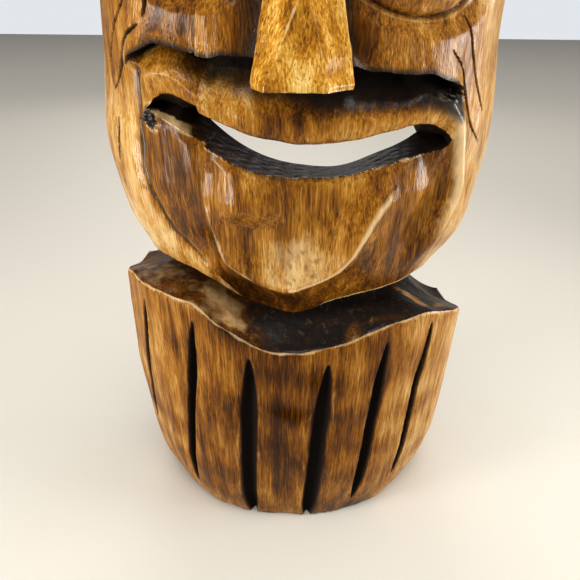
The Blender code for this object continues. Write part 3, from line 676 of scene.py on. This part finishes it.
def head_rows(angle):
    """Heights of the rows of jaw, upper lip and cheeks, with each row's share of its band."""
    mouth_half, _ = profile(HEAD_PROFILE, LOWER_LIP[0][1] * MM)
    column_x, _ = half_round(mouth_half, 1.0, angle)
    ragged = 0.35 * MM * wobble(column_x, 0, 11, 91)
    low, high = carved_line(LOWER_LIP, column_x), carved_line(UPPER_LIP, column_x)
    open_mouth = ease(0, 3, high - low)
    low, high = low + 0.7 * ragged * open_mouth, high + 0.3 * ragged * open_mouth
    chin = carved_line(CHIN_EDGE, column_x * HEAD_PROFILE[0][1] * MM / mouth_half)
    ledge = carved_line(CHEEK_LEDGE, column_x * 0.978)
    ledge = ledge + 0.7 * MM * wobble(column_x, 0, 16, 92)
    rows = []
    for start, end, count in zip((chin, high, ledge), (low, ledge, HEAD_TOP), HEAD_ROWS):
        share = shares(count)
        height = start + (end - start) * share
        rows.append((height, share + 0 * height))
    return column_x, ledge, rows


def head_outer(angle):
    """The carved front of the head as jaw, lip and cheek grids with their marks."""
    column_x, ledge, rows = head_rows(angle)
    grids = []
    for band, (height, share) in zip((JAW, LIP, CHEEK), rows):
        half_width, depth = profile(HEAD_PROFILE, height)
        x, d = half_round(half_width, depth, angle[None, :])
        degrees = np.degrees(angle)[None, :] + 0 * x
        relief = head_relief(x, height, degrees, band, share, ledge[None, :])
        relief = relief * smooth(2, 14, degrees) * smooth(178, 166, degrees)
        nx, nd = outward(x, d, half_width, depth)
        mark = head_marks(x, height, degrees, band, share, ledge[None, :])
        x, d = x + nx * relief, d + nd * relief
        behind_nose = beside_nose(x, height) < -1 * MM
        bed = behind_nose & (height > NOSE_FOOT + 0.5 * MM) & (height < NOSE_TOP - 0.5 * MM)
        d = np.where(bed, np.minimum(d, NOSE_BED - 0.3 * MM), d)
        grids.append([to_points(x, on_back(d), height), mark])
    jaw, lip, cheek = grids
    inside = window(column_x, -99, -90, 82, 90)
    lip[0][-6:, :, 2] += (1.8 * MM * inside)[None, :] * shares(6)
    step = between(lip[0][-1], cheek[0][0], STEP_ROWS)
    share = inside[None, :, None]
    # the step under the ledge is painted black without varnish, part stain and part painted shadow
    dark = cheek[1][:1] * (1 - share) + np.array([0.95, 0.0, -1.0]) * share
    return jaw, lip, (step, dark), cheek


def head_inner(angle):
    """The hollow behind the face, as a lower and an upper grid split at the mouth's window."""
    mouth_half, _ = profile(HEAD_PROFILE, LOWER_LIP[0][1] * MM)
    column_x, _ = half_round(mouth_half, 1.0, angle)
    window_x = column_x * (1 - SIDE_WALL / mouth_half)
    low, high = carved_line(WINDOW_LOW, window_x), carved_line(WINDOW_HIGH, window_x)
    floor, ceiling = HOLLOW
    jaw_rows, face_rows = HOLLOW_ROWS
    z = np.concatenate([floor + (low - floor) * shares(jaw_rows),
                        high + (ceiling - high) * shares(face_rows)])
    half_width, depth = profile(HEAD_PROFILE, z)
    along = (2 * z - floor - ceiling) / (ceiling - floor)
    scoop = np.clip(1 - np.abs(along) ** 3, 0, 1) ** 0.5
    hollow_half = (half_width - SIDE_WALL) * (0.75 + 0.25 * scoop)
    x, d = half_round(hollow_half, (depth - WALL) * scoop, angle[None, :])
    gouge = 1.1 * MM * np.abs(wobble(x, z, 15, 95)) * scoop
    off_window = ease(6, 16, np.minimum(np.abs(z - low), np.abs(z - high)))
    d = d - gouge * off_window * ease(4, 14, d)
    grid = to_points(x, on_back(d), z)
    tint = marks(0.55 + 0.2 * wobble(x, z, 30, 96), 0, -0.3 + 0 * x)
    return (grid[:jaw_rows], tint[:jaw_rows]), (grid[jaw_rows:], tint[jaw_rows:])


def mouth_wall(edge, opening, blind, through, lower_wall):
    """One wall of the mouth: from its outer edge to the hollow, or to a blind corner pocket.

    The lower wall (1 in the last argument, the upper one 0) has a pale bevel at its left and a brown
    edge.
    """
    end = np.where(through[:, None], opening, blind)
    share = shares(WALL_ROWS)
    wall = between(edge, end, WALL_ROWS)
    rough = wobble(wall[..., 0], wall[..., 1], 7, 97)
    wall[..., 2] += 0.12 * MM * rough * taper(share, 0.15, 0.85)
    stain_and_shade = smooth(0.0, 0.06, share) * (0.84 + 0.10 * rough)
    # the lower wall's left end is painted as a pale bevel
    bevel = lower_wall * smooth(0.42, 0.30, share + 0.05 * rough) * ease(-57, -63, wall[..., 0])
    brown = lower_wall * smooth(0.60, 0.35, share + 0.08 * rough) * ease(15, -35, wall[..., 0])
    stain_and_shade = stain_and_shade * (1 - 0.42 * brown)
    return wall, marks(np.clip(stain_and_shade, 0, 1) * (1 - bevel), 0.85 * bevel, 1.3 * bevel - 0.85)


def open_columns(low, high):
    """Columns where a slot is open, with the closed one on either side."""
    columns = np.where(np.linalg.norm(low - high, axis=1) > 1e-6)[0]
    return np.arange(columns[0] - 1, columns[-1] + 2)


def back_land(skin, hollow_top, head_top):
    """Flat back above the hollow, with the hanger's pocket let into it."""
    low, high = hollow_top[0, 2], head_top[0, 2]
    z_rows = [low] + [POCKET_HEIGHTS[0]] * 2 + [POCKET_HEIGHTS[1]] * 2 + [high]
    deep_rows = [0, 0, 1, 1, 0, 0]
    in_pocket = np.repeat([0, 1, 0], BACK_COLUMNS)
    grid, tint = [], []
    for z, deep in zip(z_rows, deep_rows):
        share = (z - low) / (high - low)
        right = hollow_top[0, 0] * (1 - share) + head_top[0, 0] * share
        left = hollow_top[-1, 0] * (1 - share) + head_top[-1, 0] * share
        ends = (right, POCKET_HALF, -POCKET_HALF, left)
        x = np.concatenate([np.linspace(*pair, BACK_COLUMNS) for pair in zip(ends, ends[1:])])
        sunk = in_pocket * deep
        grid.append(np.stack([x, BACK_Y - POCKET_DEEP * sunk, np.full(x.shape, z)], axis=-1))
        tint.append(marks(0.45 * sunk, 0.15, 0.35 - 0.3 * sunk))
    skin.add(np.array(grid), np.array(tint))


def make_head():
    angle = even_angles(HEAD_COLUMNS, *HEAD_SPAN)
    jaw, lip, step, cheek = head_outer(angle)
    lower, upper = head_inner(angle)
    foot_x, foot_d = plinth_section(NECK_Z + 0 * angle, angle)
    foot_x, foot_d = foot_x * (NECK_SHARE - NECK_INSET), foot_d * (NECK_SHARE - NECK_INSET)
    footprint = to_points(foot_x, on_back(foot_d), NECK_Z + GLUE_GAP + LEAN * foot_x)

    skin = Skin()
    for grid, mark in (jaw, lip, step, cheek, lower, upper):
        skin.add(grid, mark)
    under = between(footprint, jaw[0][0], UNDER_ROWS)
    share = shares(UNDER_ROWS)
    lift = np.sin(math.pi * share) * ease(0, 12, BACK_Y - under[..., 1])
    under[..., 2] += 5 * MM * lift
    # painted shade: the head's underside is darkened, most at the neck, where shade falls under the jaw
    darkened = 1 - 0.75 * share + 0 * lift
    skin.add(under, marks(0.8 * darkened, 0, -0.2))
    back_foot = across_back(footprint)
    skin.bridge(back_foot, footprint, 3, (0.5, 0, 0))
    skin.bridge(back_foot, lower[0][0], 8, (0, 0.15, 0.4))
    skin.bridge(cheek[0][-1], laid_back(cheek[0][-1]), 4, (0.4, 0, 0))
    back_land(skin, upper[0][-1], cheek[0][-1])
    outline = np.concatenate([under, jaw[0][1:], lip[0], step[0][1:-1], cheek[0]])
    hollow_edge = np.concatenate([lower[0], upper[0]])
    nearest = np.round(np.linspace(0, 1, len(outline)) * (len(hollow_edge) - 1)).astype(int)
    for column in (0, -1):
        inner = hollow_edge[nearest, column]
        skin.bridge(outline[:, column], inner, 6, (0, 0.2, 0.4))

    columns = open_columns(jaw[0][-1], lip[0][0])
    through = np.isin(columns, open_columns(lower[0][-1], upper[0][0]))
    blind = (jaw[0][-1][columns] + lip[0][0][columns]) / 2
    blind[1:-1, 1] += 14 * MM
    for edge, opening, lower_wall in ((jaw[0][-1], lower[0][-1], 1), (lip[0][0], upper[0][0], 0)):
        wall, mark = mouth_wall(edge[columns], opening[columns], blind, through, lower_wall)
        skin.add(wall, mark)
    return skin.build("head_carved")


# ---- nose ----
def nose_outline(share):
    """Points round the nose at one height, and how far each is from the nearest corner."""
    half = NOSE_HALF_FOOT + (NOSE_HALF_TOP - NOSE_HALF_FOOT) * share
    front = DEPTH - 22 * MM * share - 4 * MM * math.sin(math.pi * share)
    side = front - 12 * MM * (1 - share / 3)
    narrow = min(1.0, share / 0.45)
    left = -18.5 * MM + 16.5 * MM * narrow
    right = 11.5 * MM - 8.5 * MM * narrow
    corners = [(-half, NOSE_BED), (-half, side), (left, front),
               (right, front), (half, side), (half, NOSE_BED)]
    points, soft = [], []
    for start, end in zip(corners, corners[1:]):
        t = np.linspace(0, 1, NOSE_SIDE_COLUMNS, endpoint=False)
        points.append(np.array(start) * (1 - t[:, None]) + np.array(end) * t[:, None])
        soft.append(np.minimum(t, 1 - t) * math.dist(start, end))
    return np.concatenate(points + [[corners[-1]]]), np.concatenate(soft + [[0.0]])


def make_nose():
    grid, tint = [], []
    for share in np.linspace(0, 1, NOSE_ROWS):
        outline, soft = nose_outline(share)
        z = NOSE_FOOT + (NOSE_TOP - NOSE_FOOT) * share
        x, d = outline[:, 0], outline[:, 1]
        inside = ease(0, 2.5, soft)
        at_foot = ease(2.5, 0, z - NOSE_FOOT)
        dish = 0.8 * MM * np.minimum(soft / (7 * MM), 1) + 0.5 * MM * ease(0.9, 0, soft)
        dish = dish * (d > NOSE_BED + 10 * MM)
        grain = 0.25 * MM * wobble(x, z * 0.4, 12, 101) * inside * (d < DEPTH - 3 * MM)
        d = d + (grain - dish - 1.2 * MM * at_foot) * (d > NOSE_BED + 2 * MM)
        x = x * (1 - 0.03 * at_foot) + 0.5 * MM * wobble(z, 0, 22, 102) * inside
        fine = wobble(x, z, 7, 103)
        wear_and_highlight = 0.5 * ease(1.1, 0, soft + 0.3 * MM * fine) * (d > NOSE_BED + 12 * MM)
        wear_and_highlight = np.maximum(wear_and_highlight, 0.3 * ease(2, 0.5, z - NOSE_FOOT + 0.8 * MM * fine))
        # the nose is lighter wood overall, with painted light on its right facet and painted shade on
        # its left one
        tone_and_shading = 0.20 + 0.22 * ease(4, 14, x) - 0.25 * ease(-6, -20, x)
        tone_and_shading = tone_and_shading + 0.2 * wobble(x, z * 0.5, 24, 104)
        stain_and_shade = 0.8 * ease(16, 8, d - NOSE_BED)
        grid.append(to_points(x, d, z))
        tint.append(marks(stain_and_shade, wear_and_highlight * (1 - stain_and_shade), tone_and_shading))
    grid, tint = np.array(grid), np.array(tint)
    skin = Skin()
    skin.add(grid, tint)
    back = np.stack([grid[:, 0], grid[:, -1]], axis=1)
    skin.add(between(back[:, 0], back[:, 1], 6).transpose(1, 0, 2), (0.6, 0, 0))
    for row, dark in ((0, 0.55), (-1, 0.3)):
        ring = grid[row]
        skin.bridge(ring, across_back(ring), 16, (dark, 0, 0))
    return skin.build("nose_carved")


# ---- crest ----
def make_crest():
    """Upright leaves over a chevron-cut headband."""
    columns = LEAVES * LEAF_COLUMNS
    angle = np.linspace(0, math.pi, columns + 1)
    around = np.linspace(0, 1, columns + 1)
    edge = np.abs(2 * ((LEAVES * around) % 1.0) - 1)
    low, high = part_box("crest")
    top_half = high.x
    base_half, base_depth = profile(HEAD_PROFILE, HEAD_TOP)
    tip_x, _ = half_round(top_half, 1.0, angle)
    tips = TALL - 26 * MM * (tip_x / top_half) ** 2 - 30 * MM * edge ** 1.4
    band_top = low.z + BAND_TALL
    band = BAND_TALL / (TALL - low.z)
    up_blade = np.linspace(band + 0.004, 1, BLADE_ROWS)
    share = np.concatenate([np.linspace(0, band, BAND_ROWS), up_blade])[:, None]
    on_band = share <= band
    z = low.z + np.where(on_band, share * (TALL - low.z), share * (tips - low.z))
    flare = smooth(band, 0.95, share)
    swell = 7 * MM * (1 - edge ** 2)
    half_width = base_half + (top_half - base_half) * flare + BAND_PROUD * on_band
    depth = base_depth - BAND_PROUD - 26 * MM * flare
    x, d = half_round(half_width, depth, angle[None, :])
    nx, nd = outward(x, d, half_width, depth)
    degrees = np.degrees(angle)
    fade = smooth(0, 12, degrees) * smooth(180, 168, degrees)
    off_rib = np.abs((LEAVES * around[None, :]) % 1.0 - 0.5)
    blade = (z - band_top) / (tips - band_top)
    rib = hump(off_rib, 0, 0.022) * smooth(0.0, 0.08, blade) * smooth(0.98, 0.86, blade)
    veins = hump((blade * 5.2 - 3.2 * off_rib) % 1.0, 0.5, 0.10)
    veins = veins * smooth(0.06, 0.12, off_rib) * smooth(0.42, 0.34, off_rib)
    veins = veins * smooth(0.05, 0.15, blade) * smooth(0.92, 0.8, blade)
    seam = smooth(0.46, 0.5, off_rib) * smooth(0.0, 0.05, blade)
    leaf = swell - 1.8 * MM * rib - 1.0 * MM * veins - 2.5 * MM * seam
    zig = np.abs(((LEAVES * CHEVRONS_PER_LEAF * around[None, :]) % 1.0) - 0.5) * 2
    zig_z = low.z + 5 * MM + 14 * MM * zig
    chevron = ease(1.9, 0.5, np.abs(z - zig_z) * 0.75)
    rolled = 1.2 * MM * (ease(2, 0, z - low.z) + ease(2, 0, band_top - z))
    uneven = 0.4 * MM * wobble(x, z * 0.4, 22, 111) + 0.1 * MM * wobble(x, z * 0.2, 5, 112)
    relief = (np.where(on_band, -1.8 * MM * chevron - rolled, leaf) + uneven) * fade
    x, d = x + nx * relief, d + nd * relief
    front = to_points(x, on_back(d), z)
    spread = wobble(x, z, 35, 113)
    in_cuts = np.maximum.reduce([0.85 * rib, 0.7 * veins, seam, smooth(0.06, 0.0, blade)])
    stain_and_shade = np.where(on_band, chevron, in_cuts)
    tip_wear = 0.8 * smooth(0.03, 0.0, 1 - blade + 0.01 * spread)
    wear_and_highlight = np.where(on_band, 0.5 * ease(2.5, 0, band_top - z), tip_wear)
    skin = Skin()
    skin.add(front, marks(stain_and_shade * fade, wear_and_highlight * (1 - stain_and_shade), -0.1 + 0.25 * spread))
    flat_top = laid_back(front[-1])
    deck = between(front[-1], flat_top, DECK_ROWS)
    inner = deck[1:-1]
    inner[..., 2] -= 0.8 * MM * np.abs(wobble(inner[..., 0], inner[..., 1], 14, 114))
    skin.add(deck, marks(0.35 + 0.2 * wobble(deck[..., 0], deck[..., 1], 25, 115), 0.0, 0.1))
    base = laid_back(front[0])
    skin.bridge(base, front[0], 4, (0.5, 0, 0))
    skin.bridge(base, flat_top, 24, (0, 0.15, 0.4))
    return skin.build("crest_carved")


# ---- materials: shades of wood as (place, shares of the slot's red, green and blue) ----
WOOD_SHADES = [(0.0, (0.05, 0.04, 0.02)), (0.28, (0.20, 0.13, 0.03)), (0.50, (0.57, 0.42, 0.06)),
               (0.72, (1.05, 0.95, 0.28)), (1.0, (1.6, 2.1, 2.3))]
PORE_BROWN = (0.035, 0.014, 0.005, 1)
# the pale colour below also paints highlights, and the black one also paints shadow and shade
BARE_WOOD_AND_HIGHLIGHT = (0.72, 0.52, 0.27, 1)
SOAKED_BLACK_AND_SHADOW = (0.018, 0.014, 0.012, 1)


class Nodes:
    """Small helper that writes a node material."""

    def __init__(self, name):
        self.material = bpy.data.materials.new(name)
        self.material.use_nodes = True
        self.tree = self.material.node_tree
        self.shader = self.tree.nodes["Principled BSDF"]
        self.place = self.add("ShaderNodeTexCoord").outputs["Object"]

    def add(self, kind, inputs=None, **settings):
        node = self.tree.nodes.new(kind)
        for key, value in settings.items():
            setattr(node, key, value)
        for key, value in (inputs or {}).items():
            self.set(node.inputs[key], value)
        return node

    def set(self, socket, value):
        if isinstance(value, bpy.types.NodeSocket):
            self.tree.links.new(value, socket)
        else:
            socket.default_value = value

    def give(self, **inputs):
        """Sets the shader's inputs, named with underscores for spaces."""
        for name, value in inputs.items():
            self.set(self.shader.inputs[name.replace("_", " ")], value)

    def noise(self, scale, stretch=(1, 1, 1), detail=3.0, rough=0.55, warp=0.0):
        place = self.add("ShaderNodeMapping", {"Vector": self.place, "Scale": stretch}).outputs[0]
        inputs = {"Scale": scale, "Detail": detail, "Roughness": rough, "Distortion": warp}
        return self.add("ShaderNodeTexNoise", {"Vector": place, **inputs}).outputs["Fac"]

    def calc(self, operation, first, second=0.0, third=0.0, clamp=False):
        inputs = {0: first, 1: second, 2: third}
        return self.add("ShaderNodeMath", inputs, operation=operation, use_clamp=clamp).outputs[0]

    def vary(self, value, noise, strength):
        """A value moved up and down by a noise about its middle."""
        return self.calc("MULTIPLY_ADD", self.calc("SUBTRACT", noise, 0.5), strength, value)

    def span(self, value, low, high, to_low=0.0, to_high=1.0):
        inputs = {"Value": value, "From Min": low, "From Max": high, "To Min": to_low, "To Max": to_high}
        return self.add("ShaderNodeMapRange", inputs, clamp=True).outputs[0]

    def ramp(self, value, stops):
        node = self.add("ShaderNodeValToRGB", {"Fac": value})
        band = node.color_ramp
        while len(band.elements) < len(stops):
            band.elements.new(0.5)
        for element, (place, colour) in zip(band.elements, stops):
            element.position = place
            element.color = (*colour, 1.0)
        return node.outputs["Color"]

    def mix(self, share, first, second):
        node = self.add("ShaderNodeMix", data_type="RGBA")
        for socket, value in ((0, share), (6, first), (7, second)):
            self.set(node.inputs[socket], value)
        return node.outputs[2]

    def mark(self, name):
        return self.add("ShaderNodeAttribute", attribute_name=name).outputs["Fac"]

    def bump(self, height, distance, normal=None):
        inputs = {"Height": height, "Distance": distance, "Strength": 1.0}
        if normal is not None:
            inputs["Normal"] = normal
        return self.add("ShaderNodeBump", inputs).outputs[0]


def varnished_wood(name, slot, bias, gloss):
    """Stained, streaky wood under gloss varnish, with the painted marks over it, which in places
    paint shadow, shade, highlights and sheen.

    A tone below -0.95 has no varnish, and one above 1.6 is a thick run of it.
    """
    colour = SLOTS[slot]["base_color"]
    n = Nodes(name)
    blotch = n.noise(95, (1, 1, 0.5), 4, 0.6, 0.4)
    fibre = n.noise(1050, (1, 1, 0.05), 3, 0.65, 0.15)
    pores = n.span(n.noise(950, (1, 1, 0.09), 2, 0.5), 0.60, 0.72)
    tone_and_shading, wear_and_highlight, stain_and_shade = n.mark("tone_and_shading"), n.mark("wear_and_highlight"), n.mark("stain_and_shade")
    value = n.vary(0.5 + bias, n.noise(19, (1, 1, 0.25), 4, 0.6, 0.5), 0.75)
    value = n.vary(value, n.noise(150, (1, 1, 0.06), 4, 0.65, 0.3), 0.95)
    value = n.vary(n.vary(value, blotch, 0.32), fibre, 1.0)
    # tone, which also carries painted shade and sheen, moves the wood along its ramp
    value = n.calc("MULTIPLY_ADD", tone_and_shading, 0.36, value)
    wood = n.ramp(value, [(place, np.multiply(colour, parts)) for place, parts in WOOD_SHADES])
    wood = n.mix(n.calc("MULTIPLY", pores, 0.55), wood, PORE_BROWN)
    # rubbed pale wear and painted highlights
    worn_and_highlight = n.calc("MULTIPLY", n.vary(wear_and_highlight, blotch, 0.9), n.span(wear_and_highlight, 0.0, 0.12))
    wood = n.mix(n.calc("MULTIPLY", n.span(worn_and_highlight, 0.25, 0.75), 0.85), wood, BARE_WOOD_AND_HIGHLIGHT)
    # soaked black stain and painted shadow and shade
    darkened = n.calc("MULTIPLY", n.vary(stain_and_shade, blotch, 0.35), n.span(stain_and_shade, 0.0, 0.15), clamp=True)
    wood = n.mix(darkened, wood, SOAKED_BLACK_AND_SHADOW)
    n.give(Base_Color=wood, Roughness=n.span(fibre, 0.3, 0.7, 0.30, 0.50))

    uneven = n.bump(n.noise(46, (1, 1, 0.3), 3), 0.0016)
    grain = n.calc("MULTIPLY_ADD", pores, -0.6, fibre)
    lacquer = n.bump(n.noise(60, (1, 1, 0.4), 2), 0.0007)
    n.give(Normal=n.bump(grain, 0.00042, uneven), Coat_Normal=n.bump(fibre, 0.00022, lacquer))
    varnish = n.span(tone_and_shading, -0.95, -0.6)
    coat = n.calc("MULTIPLY_ADD", varnish, gloss, n.calc("MULTIPLY", n.span(tone_and_shading, 1.6, 2.4), 0.3))
    n.give(Specular_IOR_Level=n.calc("MULTIPLY", varnish, 0.06), Coat_Weight=coat)
    n.give(Coat_Roughness=n.span(blotch, 0.35, 0.65, 0.07, 0.16))
    return n.material


def raw_wood(name, slot):
    """Plain turned hardwood with open grain."""
    colour = SLOTS[slot]["base_color"]
    n = Nodes(name)
    fibre = n.noise(500, (1, 1, 0.06), 3)
    wood = n.ramp(fibre, [(0.3, np.multiply(colour, 0.6)), (0.7, colour)])
    n.give(Base_Color=wood, Roughness=0.7, Normal=n.bump(fibre, 0.0002))
    return n.material


def metal(name, slot, dull):
    """Plated metal, tarnished in patches, with fine rubbing."""
    colour = SLOTS[slot]["base_color"]
    n = Nodes(name)
    patch = n.noise(420, (1, 1, 1), 4, 0.6)
    plate = n.ramp(patch, [(0.35, np.multiply(colour, dull)), (0.62, colour)])
    n.give(Base_Color=plate, Metallic=1.0, Roughness=n.span(patch, 0.35, 0.65, 0.48, 0.26))
    n.give(Normal=n.bump(n.noise(2600, (1, 0.2, 1), 2), 0.00006))
    return n.material


def dress(obj, material):
    obj.data.materials.clear()
    obj.data.materials.append(material)


# ---- pieces on their bodies ----
def place_pieces():
    """The carved blocks take their CAD nodes' places; the rest keep their CAD shapes."""
    carved = ((make_plinth, "plinth", 0.03, 0.24), (make_head, "head", 0.035, 0.50),
              (make_nose, "nose", 0.05, 0.45), (make_crest, "crest", 0.0, 0.30))
    for make, node, bias, gloss in carved:
        slot = node + "_wood"
        piece = make()
        dress(piece, varnished_wood(slot + "_varnished", slot, bias, gloss))
        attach(piece, "figure")
        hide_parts(node)
    raw = raw_wood("dowel_wood_raw", "dowel_wood")
    brass = metal("hanger_brass_dulled", "hanger_brass", 0.45)
    steel = metal("screw_steel_plated", "screw_steel", 0.6)
    for node, obj in frame["nodes"].items():
        if "dowel" in node:
            dress(obj, raw)
        elif "screw" in node:
            dress(obj, steel)
        elif "hanger" in node:
            dress(obj, brass)


# ---- stage: lights are (name, place, size, watts, colour, spread in degrees) ----
FLOOR_REACH = 6.0
SKY_LIGHTS, SKY_SHOWS = 0.26, 0.72
COOL, COOLER, WARM = (0.97, 0.99, 1.0), (0.95, 0.98, 1.0), (1.0, 0.99, 0.97)
LIT_POINT = (0, -0.03, 0.33)
LIGHTS = [
    ("window_left", (-1.14, -0.46, 0.62), (0.28, 0.46), 2.9, COOLER, 110),
    ("window_left_low", (-0.95, -0.65, 0.13), (0.34, 0.32), 2.4, COOLER, 110),
    ("window_right", (1.10, -0.10, 0.38), (0.45, 0.60), 4.6, COOL, 110),
    ("overhead", (0.3, -1.1, 6.0), (3.8, 3.8), 240, WARM, 180),
    ("behind", (-0.3, 2.2, 1.3), (1.6, 1.2), 7, WARM, 120),
]
CAMERA_UP = TALL * 2 / 3
CAMERA_OFF = 0.87
CAMERA_LEFT = 0.012
CAMERA_DOWN, CAMERA_ROLL = math.radians(33), math.radians(0.6)
LENS_MM, SENSOR_MM = 27.93, 36


def make_stage():
    """A pale floor, and an even sky that lights less than it shows."""
    corners = ((-1, -1), (1, -1), (1, 1), (-1, 1))
    mesh = bpy.data.meshes.new("floor")
    mesh.from_pydata([(x * FLOOR_REACH, y * FLOOR_REACH, 0) for x, y in corners], [], [(0, 1, 2, 3)])
    floor = link("floor", mesh)
    n = Nodes("pale_floor")
    n.give(Base_Color=(0.61, 0.57, 0.50, 1), Roughness=0.6)
    dress(floor, n.material)
    world = bpy.data.worlds.new("studio")
    bpy.context.scene.world = world
    world.use_nodes = True
    tree = world.node_tree
    sky = tree.nodes["Background"].inputs
    sky["Color"].default_value = (0.93, 0.96, 1.0, 1)
    seen = tree.nodes.new("ShaderNodeMapRange")
    seen.inputs["To Min"].default_value = SKY_LIGHTS
    seen.inputs["To Max"].default_value = SKY_SHOWS
    tree.links.new(tree.nodes.new("ShaderNodeLightPath").outputs["Is Camera Ray"], seen.inputs["Value"])
    tree.links.new(seen.outputs[0], sky["Strength"])


def make_lights():
    for name, place, size, watts, colour, spread in LIGHTS:
        data = bpy.data.lights.new(name, "AREA")
        data.shape = "RECTANGLE"
        data.size, data.size_y = size
        data.energy = watts
        data.color = colour
        data.spread = math.radians(spread)
        light = link(name, data)
        light.location = place
        light.visible_camera = False
        facing = Vector(LIT_POINT) - Vector(place)
        light.rotation_euler = facing.to_track_quat("-Z", "Y").to_euler()


def make_camera():
    """Close, high and wide, looking down at the mouth and plinth."""
    scene = bpy.context.scene
    data = bpy.data.cameras.new("camera")
    data.sensor_width = SENSOR_MM
    data.lens = LENS_MM
    camera = link("camera", data)
    place = (-CAMERA_LEFT * CAMERA_UP, BACK_Y - CAMERA_OFF * CAMERA_UP, CAMERA_UP)
    tilt = Matrix.Rotation(math.radians(90) - CAMERA_DOWN, 4, "X")
    camera.matrix_world = Matrix.Translation(place) @ tilt @ Matrix.Rotation(CAMERA_ROLL, 4, "Z")
    scene.camera = camera
    view = scene.view_settings
    view.view_transform = "Standard"
    view.gamma, view.exposure = 0.86, 0.25


place_pieces()
make_stage()
make_lights()
make_camera()
